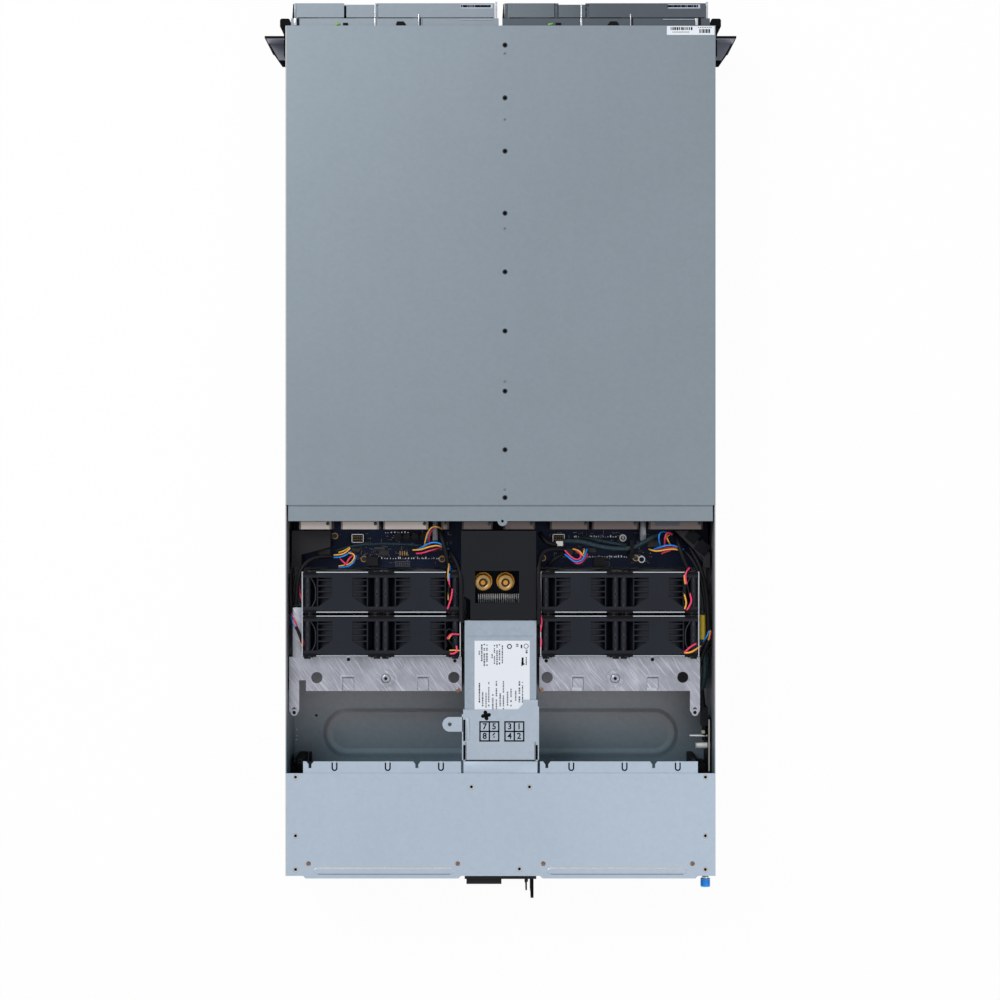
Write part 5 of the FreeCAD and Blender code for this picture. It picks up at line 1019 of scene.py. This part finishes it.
# colour, radius and route of each wire
WIRING = (
    ("black", 2.1, (
        (172.4, 543.9, 60), (181.4, 543.5, 64), (192.4, 544.7, 68), (201.4, 550.3, 71),
        (206.9, 560.5, 73), (209.5, 576, 73), (210.6, 592.5, 72))),
    ("yellow", 0.8, ((172.2, 542.3, 62), (164.7, 542.2, 66), (158.9, 539.1, 67), (155.6, 535.5, 63))),
    ("yellow", 0.8, ((167.1, 539.7, 61), (161.7, 538.6, 65), (156.3, 534.6, 60))),
    ("blue", 0.8, ((172.2, 544.9, 62), (164.6, 544.7, 67), (158.4, 541.6, 67), (154.6, 538.7, 62))),
    ("yellow", 0.8, (
        (156.4, 540.1, 66), (151.6, 540.6, 69), (149.9, 544.1, 71), (153, 549.3, 71),
        (157.8, 552.5, 68), (167.1, 553.7, 62))),
    ("blue", 0.8, (
        (149.2, 543.2, 66), (149.5, 547.3, 69), (154, 552.4, 71), (159.2, 555, 70), (167.1, 555.2, 62))),
    ("pink", 0.85, ((166.5, 544.9, 62), (163.7, 548.4, 66), (158.3, 552.4, 69), (161.2, 553.6, 64))),
    ("pink", 0.85, ((151.9, 542.2, 64), (155.3, 544.7, 68), (158.2, 549.3, 70), (160, 553, 66))),
    ("yellow", 0.8, (
        (78.6, 533, 61), (77.4, 526.7, 68), (75.2, 518.9, 72), (71, 513.2, 74), (65.4, 512.2, 73),
        (60.4, 515.3, 68))),
    ("red", 0.8, ((73, 532, 61), (73.8, 525.7, 67), (72.6, 518.4, 71), (68.5, 514.3, 70))),
    ("blue", 0.8, ((75, 528.9, 61), (75.1, 523.6, 67), (73.4, 517.4, 70), (70.7, 514.8, 66))),
    ("blue", 0.85, (
        (85.4, 536.6, 61), (79, 532.9, 66), (71.7, 529.2, 69), (64.4, 529.2, 70), (58.3, 532.8, 69),
        (52.7, 537.1, 63))),
    ("yellow", 0.85, (
        (90.6, 537.2, 60), (84.2, 537.3, 65), (75.8, 534.4, 68), (67.5, 532.3, 69), (61.4, 532.9, 68),
        (55.3, 536.6, 63))),
    ("pink", 0.85, ((87, 540.8, 60), (81.1, 540.7, 65), (72.8, 537.5, 67), (61.6, 534.6, 61))),
    ("red", 0.8, ((59.4, 533.4, 66), (55.3, 535, 64), (52.5, 536.3, 61))),
    ("black", 2.6, (
        (62.6, 516.4, 62), (60.4, 524.6, 68), (57.7, 533.8, 70), (55.1, 545.2, 70), (53.1, 555.6, 68))),
    ("black", 2.4, (
        (53.8, 537.1, 62), (49, 543.1, 70), (44.2, 551.2, 76), (41, 561.2, 83.5), (40.4, 571.4, 85.2),
        (40.4, 587.8, 85.2), (40.4, 610.3, 84.8))),
    ("yellow", 0.7, ((53, 551.3, 74), (53.2, 555.1, 83.6), (54, 561.2, 84.4), (53.4, 568.4, 83))),
    ("blue", 0.7, ((51.9, 553.2, 76), (51.9, 558.1, 83.8), (52.7, 564.3, 84.4), (52.4, 570.5, 83))),
    ("pink", 0.8, ((53.6, 563.3, 83), (52.7, 568.4, 84.5), (52, 574.6, 83))),
    ("black", 0.9, ((52.3, 571.5, 83.2), (53.6, 577.6, 84.6), (52.2, 583.7, 84.4), (51.2, 591, 83))),
    ("pink", 0.95, ((49.3, 576.6, 83), (49.9, 583.7, 84.8), (52.1, 590.9, 84.8), (54.2, 597.1, 83))),
    ("yellow", 0.55, ((53.4, 577.6, 83.4), (53.3, 582.7, 84.2), (53.6, 587.9, 83.4))),
    ("black", 2.3, (
        (-66.7, 536.8, 61), (-57.3, 536, 67), (-48.9, 536.4, 71), (-43.2, 539.9, 74),
        (-40.1, 547.1, 77), (-38.9, 557.1, 83.5), (-38.9, 571.4, 85.2), (-39.4, 587.8, 85.2),
        (-39.4, 612.4, 84.8))),
    ("black", 2, ((-66.8, 540.8, 60), (-61.5, 542.8, 64), (-54.2, 547.4, 66), (-49.1, 553.7, 62))),
    ("black", 2.6, ((-40.9, 519.6, 60), (-44.4, 525.7, 66), (-50.1, 530.8, 67), (-58.4, 531.9, 62))),
    ("pink", 0.85, (
        (-65.7, 536.3, 62), (-69.7, 541.2, 66), (-74.8, 545.7, 69), (-79.9, 547.2, 70),
        (-83.5, 544.2, 69), (-82.1, 540.1, 66), (-78.1, 538.2, 61))),
    ("blue", 0.85, (
        (-65.7, 540.8, 61), (-70.7, 544.8, 66), (-75.8, 548.8, 69), (-80.9, 549.3, 70),
        (-86.6, 545.2, 70), (-89.5, 536.1, 62))),
    ("pink", 0.85, (
        (-69.9, 544.4, 61), (-74.9, 548.9, 66), (-79.9, 551.7, 69), (-86.1, 548.3, 69),
        (-90, 541.2, 63))),
    ("yellow", 0.8, ((-75, 536.1, 61), (-80, 537, 66), (-84.1, 540.6, 68), (-85.7, 544.3, 66))),
    ("yellow", 0.8, ((-86.9, 536.1, 61), (-86.4, 539.1, 66), (-84.7, 543.2, 66))),
    ("blue", 0.85, (
        (-171.3, 518.5, 61), (-166.6, 517.4, 68), (-163.3, 520.9, 71), (-163.2, 526.6, 69),
        (-165.6, 533, 61))),
    ("pink", 0.9, (
        (-177.5, 521.1, 61), (-174.3, 518.7, 68), (-170.8, 519.9, 71), (-169.1, 525.6, 70),
        (-170, 533, 61))),
    ("yellow", 0.8, ((-174.8, 521.4, 62), (-171, 523.1, 67), (-172.9, 527.2, 67), (-175.9, 532, 61))),
    ("blue", 0.85, (
        (-158.9, 536.4, 60), (-164.7, 534.2, 66), (-171.7, 532.1, 69), (-179.9, 532.1, 69),
        (-189.8, 536.9, 62))),
    ("red", 0.8, (
        (-160, 537.4, 60), (-166.8, 535.3, 65), (-174.9, 534.1, 67), (-182.2, 534.8, 66),
        (-189.9, 538.2, 61))),
    ("yellow", 0.85, (
        (-153.7, 536.3, 60), (-158.6, 538.4, 65), (-165.7, 537.8, 67), (-173.8, 536, 68),
        (-182.2, 536.3, 67), (-189.9, 539, 61))),
    ("pink", 0.8, ((-166.7, 541.1, 60), (-169.6, 539.2, 63), (-176, 537.7, 60))),
    ("black", 2.5, (
        (-182, 520.7, 56), (-183.4, 528.8, 64), (-186.2, 539, 68), (-190.2, 550.3, 70),
        (-196.4, 562.7, 70))),
    ("black", 1.9, (
        (-188.9, 537.1, 61), (-194.5, 542.2, 67), (-200.4, 551.3, 71), (-205.4, 563.7, 72),
        (-209.1, 580.1, 72), (-211.7, 600.8, 71))),
    ("black", 2.4, (
        (-196.4, 535.1, 58), (-201.9, 545.3, 66), (-207.7, 559.6, 70), (-211.6, 578.1, 72),
        (-214, 600.7, 72), (-214.3, 621.4, 71))),
    ("black", 2.3, ((216.6, 561.7, 68), (216.7, 576.1, 70), (216.5, 590.5, 70), (215.5, 601.9, 69))),
    ("pink", 0.85, ((207.7, 566, 64), (207.6, 576.1, 69), (206.5, 584.3, 72), (202.4, 594.9, 66))),
    ("yellow", 0.7, ((210.7, 574.4, 60), (211.1, 580.5, 64), (209.9, 587.9, 60))),
    ("blue", 0.7, ((212.2, 582.7, 60), (211, 586.8, 62), (209.3, 590.1, 58))),
    ("pink", 0.9, ((215.6, 601.9, 70), (213, 606.8, 74), (210.2, 612.9, 76), (208.2, 618.8, 72))),
    ("blue", 0.85, ((216.3, 605, 69), (214.1, 611, 73), (212, 616.1, 74), (210.7, 619.3, 71))),
    ("yellow", 0.7, ((214.1, 608.1, 70), (212.3, 613, 73), (210.3, 618.4, 70))),
    ("black", 1.6, ((210.4, 616.1, 74), (207.1, 622.1, 77), (204.4, 629.2, 78), (203.2, 637.7, 74))),
    ("pink", 0.9, ((204.1, 626.2, 76), (201.7, 631.2, 79), (200.8, 639.9, 72))),
    ("yellow", 0.8, ((206.8, 627.4, 74), (204.9, 632.3, 78), (202.7, 639.7, 74), (202, 642.1, 70))),
    ("red", 0.7, ((205.2, 629.4, 75), (203.2, 634.3, 78), (201.8, 639.9, 72))),
    ("pink", 0.95, (
        (-193.9, 555.2, 80), (-190.4, 558.6, 84.4), (-188.9, 564.2, 84.8), (-191.1, 572, 83.2))),
    ("yellow", 0.75, ((-188.6, 562.2, 83.4), (-188.2, 566.3, 84.4), (-189.5, 572, 83.4))),
    ("black", 0.9, ((-191.1, 571.5, 83.4), (-192.4, 576.6, 84.4), (-193.5, 582.7, 83.6))),
    ("black", 0.9, ((-189.7, 571.5, 83.4), (-188.6, 576.6, 84.2), (-188.2, 582.7, 83.6))),
    ("yellow", 0.85, (
        (-188, 580.7, 83.4), (-189.7, 586.8, 84.8), (-190.5, 591.9, 84.8), (-188.8, 597.1, 83.4))),
    ("pink", 0.95, (
        (-193.7, 580.7, 83.4), (-195.9, 586.8, 84.8), (-194.7, 592.4, 84.8), (-191.1, 598.1, 83.4))),
    ("blue", 0.85, ((-215.2, 618.8, 72), (-213.8, 623.3, 74), (-211.4, 627.4, 74), (-208.7, 631.2, 70))),
    ("yellow", 0.8, ((-216, 619.8, 72), (-215.1, 626.4, 74), (-213.4, 632.8, 70))),
    ("red", 0.8, ((-216.9, 620.4, 71), (-216.2, 626.9, 73), (-214.3, 633.4, 69))),
    ("yellow", 0.95, (
        (-205.6, 635.5, 76), (-200.3, 638.6, 83.8), (-194, 642.1, 85), (-188.5, 642, 83.4))),
    ("pink", 0.95, ((-200.4, 632.8, 82), (-195.6, 634.9, 85), (-191, 639, 85), (-188.3, 641.7, 83.4))),
    ("red", 0.85, ((-205.1, 637.5, 76), (-198.7, 639.4, 84), (-192.5, 641.6, 84.4))),
    ("yellow", 0.7, ((-203.6, 588.8, 62), (-204.4, 591.2, 66), (-204.8, 595, 62))),
    ("black", 2.6, ((-214.9, 629.7, 70), (-209.8, 640.1, 69), (-205.8, 652.5, 68), (-203.2, 667, 68))),
    ("black", 2.4, (
        (-202.7, 642.2, 68), (-201.6, 654.7, 67), (-202.2, 671.3, 66), (-205.1, 688.1, 62),
        (-206.9, 699, 56))),
    ("teal", 2.4, (
        (-209.1, 636.2, 66), (-210.3, 647.4, 67), (-211.1, 658.8, 67), (-209.7, 671.3, 65),
        (-207.4, 681.9, 62))),
    ("teal", 1.7, ((-213, 640.5, 63), (-213.9, 652.8, 64), (-213, 667.4, 63), (-210.7, 680, 60))),
    ("black", 2.9, (
        (-207.4, 679.9, 62), (-209.3, 692.6, 58), (-211.2, 707.5, 54), (-212.6, 722.5, 50),
        (-212.8, 735.2, 48))),
    ("pink", 0.8, ((-40.8, 600.2, 82), (-42, 606.2, 85), (-42.3, 613.4, 85), (-41, 620.7, 82))),
    ("pink", 0.8, ((-41.5, 626.9, 82), (-42.3, 631.9, 84), (-41.3, 638.2, 81))),
    ("pink", 0.9, ((42.5, 623.2, 83.6), (47.1, 622.6, 85), (52.1, 623, 85), (54.6, 627.8, 83.4))),
    ("yellow", 0.6, ((49.7, 623.5, 84.4), (52.1, 625.5, 84.8), (52.8, 627.8, 83.6))),
    ("black", 0.85, (
        (55.2, 636, 83.4), (56.8, 625.7, 84.4), (55.2, 618, 84.5), (50.2, 617.3, 84.2),
        (47.6, 623.2, 83.6))),
    ("black", 0.8, ((54.2, 627.8, 83.4), (48.3, 633.9, 84.4), (46, 641.6, 83.8))),
    ("pink", 1, ((45.2, 635, 83.6), (44.1, 639.6, 85), (47, 642.9, 85), (51.5, 643, 83.6))),
    ("yellow", 0.7, ((52.1, 639.5, 83.8), (46.6, 639, 85.4), (41.3, 639.8, 84.4))),
    ("teal", 2.3, (
        (-65.7, 528.1, 60), (-73.8, 527.7, 66), (-84, 528.2, 69), (-94.3, 531.3, 70),
        (-104.6, 533.8, 70), (-116, 535.5, 70), (-127.3, 535.9, 70), (-137.6, 534.4, 70),
        (-146, 529.8, 68), (-154.4, 525.2, 66), (-163, 520.6, 61))),
    ("teal", 1.8, (
        (-82.4, 523.8, 56), (-92.6, 524.7, 61), (-103.9, 527.8, 64), (-116.2, 530.1, 65),
        (-129.8, 532.8, 62))),
    ("teal", 1.5, (
        (62.9, 535.8, 50), (83.6, 532.6, 54), (104.2, 531, 56), (125, 530.7, 56), (143.6, 531.6, 56),
        (160.4, 534.7, 54), (171.1, 538.4, 50))),
)


def wiring():
    """The fan leads and sleeves that run with the harness, one piece for each colour."""
    bundles = {colour: bmesh.new() for colour in WIRES}
    for colour, radius, points in WIRING:
        strand(bundles[colour], points, radius)
    for colour, bm in bundles.items():
        piece("wires_" + colour, bm, WIRES[colour], "chassis", 60)
    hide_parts("fan_harness_left", "fan_harness_right")
    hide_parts("data_cable")
    bm = bmesh.new()
    turned(bm, (-208.2, 604.0, 70.0), [(0, 0), (2.9, 0), (3.1, 0.6), (3.0, 12), (3.15, 12.4), (3.0, 24.4),
                                       (2.7, 25), (0, 25)], 20, "Y")
    piece("yellow_wrap", bm, TAPE)
    slabs("cable_strap", RUBBER_AND_SHADE, [((-137.4, 526.2, 40.0), (-133.4, 541.0, 73.0), 0.6),
                                  ((-138.0, 539.8, 40.0), (-132.8, 545.4, 72.0), 0.6)])


# ---------------------------------------------------------------- rear

def rear_details():
    """Corner blocks, rivets and marks on the rear floor, the module's metal parts, painted highlights and
    shade on the covers' edge and ribs, and the ears' webs.
    """
    bm = bmesh.new()
    slab(bm, (204.7, 752.2, 1.3), (213.0, 770.0, 50.0), 0.8)
    slab(bm, (200.2, 752.2, 1.3), (202.4, 762.0, 9.0), 0.3)
    slab(bm, (213.0, 763.0, 1.3), (218.6, 771.0, 46.0), 0.4)
    slab(bm, (-204.0, 752.2, 1.3), (-197.4, 770.0, 50.0), 0.8)
    slab(bm, (-214.6, 760.0, 1.3), (-204.4, 771.0, 44.0), 0.4)
    drum(bm, (195.6, 714.1, 1.2), 1.4, 0.1, 16, "Z", 0.02)
    piece("corner_blocks", bm, RUBBER_AND_SHADE)
    bm = bmesh.new()
    for x, station, level in ((208.4, 757.0, 50.0), (-200.7, 757.0, 50.0)):
        ring(bm, (x, station, level), 1.6, 2.4, 0.25)
    piece("corner_block_rims", bm, PIN_AND_HIGHLIGHT)
    bm = bmesh.new()
    for station in (729.2, 735.6, 739.8):
        drum(bm, (216.6, station, 1.2), 1.0, 0.8, 12, "Z", 0.3)
    turned(bm, (-218.6, 740.7, 50.0), [(0, 0), (3.05, 0), (3.05, 13.6), (2.75, 14.0), (2.75, 14.6),
                                       (3.05, 15.0), (3.05, 15.5), (0, 15.5)], 20, "X")
    piece("module_coil", bm, WHITE_AND_HIGHLIGHT)
    bm = bmesh.new()
    turned(bm, (-215.0, 730.3, 50.0), [(0, 0), (1.6, 0), (1.6, 18.45), (0, 18.45)], 16, "X")
    turned(bm, (-211.0, 870.6, 71.0), [(2.3, 0), (3.5, 0), (3.5, 1.6), (2.9, 2.2), (3.5, 2.8), (3.5, 4.1),
                                       (2.3, 4.1), (2.3, 0)], 24, "Y")
    piece("module_metal", bm, SINK)
    slabs("module_edge", BOARD_EDGE, [
        ((-216.5, 712.4, 61.9), (-215.1, 766.0, 62.15)),
        ((-212.2, 724.6, 50.0), (-208.9, 727.8, 56.0), 0.3)])
    ribs = ((51.5, 187.0), (-187.0, -51.5))
    rear = high("rear_top_cover").y
    # white strips on the cover's outer edge and on the rear ribs: painted highlights; rib_shade is painted
    # shade behind the ribs
    rib_highlights = [((x0 - 1.5, rear - 11.3, TOP - 0.2), (x1 + 1.5, rear - 9.4, TOP + 0.4), 0.2)
                 for x0, x1 in ribs]
    slabs("worn_edge", WHITE_AND_HIGHLIGHT, [
        ((219.1, 0.6, TOP), (219.9, 490.0, TOP + 0.06)),
        ((219.1, 766.0, TOP), (219.9, 869.0, TOP + 0.06))] + rib_highlights)
    slabs("rib_shade", COVER, [((x0, rear - 4.6, TOP - 0.2), (x1, rear - 3.7, TOP + 0.1)) for x0, x1 in ribs])
    for side, label in ((1, "right"), (-1, "left")):
        bm = bmesh.new()
        web = ((221.0, 13.6), (238.6, 13.6), (229.0, 30.3), (221.0, 30.3))
        plate(bm, [(side * x, station) for x, station in web], 61.5, 0.3)
        x0, x1 = sorted((side * 221.0, side * 239.6))
        slab(bm, (x0, 13.3, 61.8), (x1, 13.8, 87.4))
        piece("ear_web_" + label, bm, SLATE)


def floor_bead():
    """The soft flanks of the pressed bead in the floor: rings of points, grown one from another."""
    bead = 733.0
    reach = 162.0
    floor = 1.2
    bm = bmesh.new()
    loop = bmesh.ops.create_circle(bm, segments=96, radius=1.0)["verts"]
    bmesh.ops.rotate(bm, verts=loop, cent=(0, 0, 0), matrix=Matrix.Rotation(math.pi / 96, 3, "Z"))
    turns = [vert.co.copy() for vert in loop]
    profile = ((16.0, 1.02), (19.0, 1.12), (20.8, 1.24), (22.4, 1.10), (23.8, 0.72), (25.2, 0.30),
               (26.8, 0.04), (26.8, 0.0), (16.0, 0.0))
    for number, (radius, rise) in enumerate(profile):
        if number:
            inside = set(loop)
            edges = list({edge for vert in loop for edge in vert.link_edges
                          if edge.other_vert(vert) in inside})
            grown = set(bmesh.ops.extrude_edge_only(bm, edges=edges)["geom"])
            loop = [next(edge.other_vert(vert) for edge in vert.link_edges if edge.other_vert(vert) in grown)
                    for vert in loop]
        for vert, turn in zip(loop, turns):
            side = math.copysign(reach, turn.x)
            vert.co = Vector((side + turn.x * radius, bead + turn.y * radius, floor + rise))
    rims = [edge for edge in bm.edges if edge.is_boundary]
    bmesh.ops.bridge_loops(bm, edges=rims)
    piece("floor_bead", bm, BEAD, "chassis", 60)


# ---------------------------------------------------------------- camera and light

def seen_plainly(tree):
    """1 for rays from the camera and for those that mirrors or glass send on, 0 for lighting."""
    path = tree.nodes.new("ShaderNodeLightPath")
    seen = path.outputs["Is Camera Ray"]
    for ray in ("Is Glossy Ray", "Is Transmission Ray"):
        either = tree.nodes.new("ShaderNodeMath")
        either.operation = "MAXIMUM"
        tree.links.new(seen, either.inputs[0])
        tree.links.new(path.outputs[ray], either.inputs[1])
        seen = either.outputs[0]
    return seen


def blend(tree, factor, first, second, surface):
    """Mix two shaders onto a surface socket."""
    mixed = tree.nodes.new("ShaderNodeMixShader")
    for source, socket in zip((factor, first, second), mixed.inputs):
        tree.links.new(source, socket)
    tree.links.new(mixed.outputs[0], surface)


def studio():
    """A pale floor that looks white but lights like a floor, a bright sky and two round lamps."""
    floor = bmesh.new()
    bmesh.ops.create_grid(floor, x_segments=1, y_segments=1, size=6.0)
    mesh = bpy.data.meshes.new("floor")
    floor.to_mesh(mesh)
    floor.free()
    ground = bpy.data.objects.new("floor", mesh)
    SCENE.collection.objects.link(ground)
    cloth = Finish("pale_floor")
    cloth.done((0.92, 0.93, 0.94, 1), 0.9)
    tree = cloth.tree
    glow = tree.nodes.new("ShaderNodeEmission")
    factor = Term(cloth, seen_plainly(tree)) * 0.96
    surface = [node for node in tree.nodes if node.type == "OUTPUT_MATERIAL"][0].inputs["Surface"]
    blend(tree, factor.socket, cloth.shader.outputs[0], glow.outputs[0], surface)
    mesh.materials.append(cloth.material)

    world = bpy.data.worlds.new("studio")
    SCENE.world = world
    world.use_nodes = True
    tree = world.node_tree
    sky = tree.nodes["Background"]
    sky.inputs["Color"].default_value = (0.94, 0.97, 1.0, 1)
    sky.inputs["Strength"].default_value = 0.44
    white = tree.nodes.new("ShaderNodeBackground")
    white.inputs["Color"].default_value = (1, 1, 1, 1)
    surface = tree.nodes["World Output"].inputs["Surface"]
    blend(tree, seen_plainly(tree), sky.outputs[0], white.outputs[0], surface)

    for name, spot, size, power in (("key", (1.5, -1.6, 2.3), 1.8, 52), ("fill", (-1.7, 1.0, 2.2), 2.2, 14)):
        lamp = bpy.data.lights.new(name, "AREA")
        lamp.shape = "DISK"
        lamp.size = size
        lamp.energy = power
        light = bpy.data.objects.new(name, lamp)
        light.location = spot
        light.rotation_euler = (-Vector(spot)).to_track_quat("-Z", "Y").to_euler()
        SCENE.collection.objects.link(light)


def camera():
    """Straight above, with the front of the machine at the top of the picture."""
    distance = 2.25
    frame_width = 1.023
    centre_x, centre_station = 0.0005, 0.4854
    sensor = 36
    eye = bpy.data.cameras.new("camera")
    eye.sensor_width = sensor
    eye.lens = sensor * distance / frame_width
    eye.clip_end = 20
    thing = bpy.data.objects.new("camera", eye)
    thing.location = (centre_x, FRONT + centre_station, TOP * MM + distance)
    thing.rotation_euler = (0, 0, math.pi)
    SCENE.collection.objects.link(thing)
    SCENE.camera = thing


camera()
studio()
paint_nodes()
screw_heads()
supply_label()
cover_label()
sled_fittings()
cage_print()
fan_rubbers()
fan_struts()
plate_fittings()
board_details()
board_tags()
connector_fittings()
wiring()
rear_details()
floor_bead()

SCENE.view_settings.view_transform = "Standard"
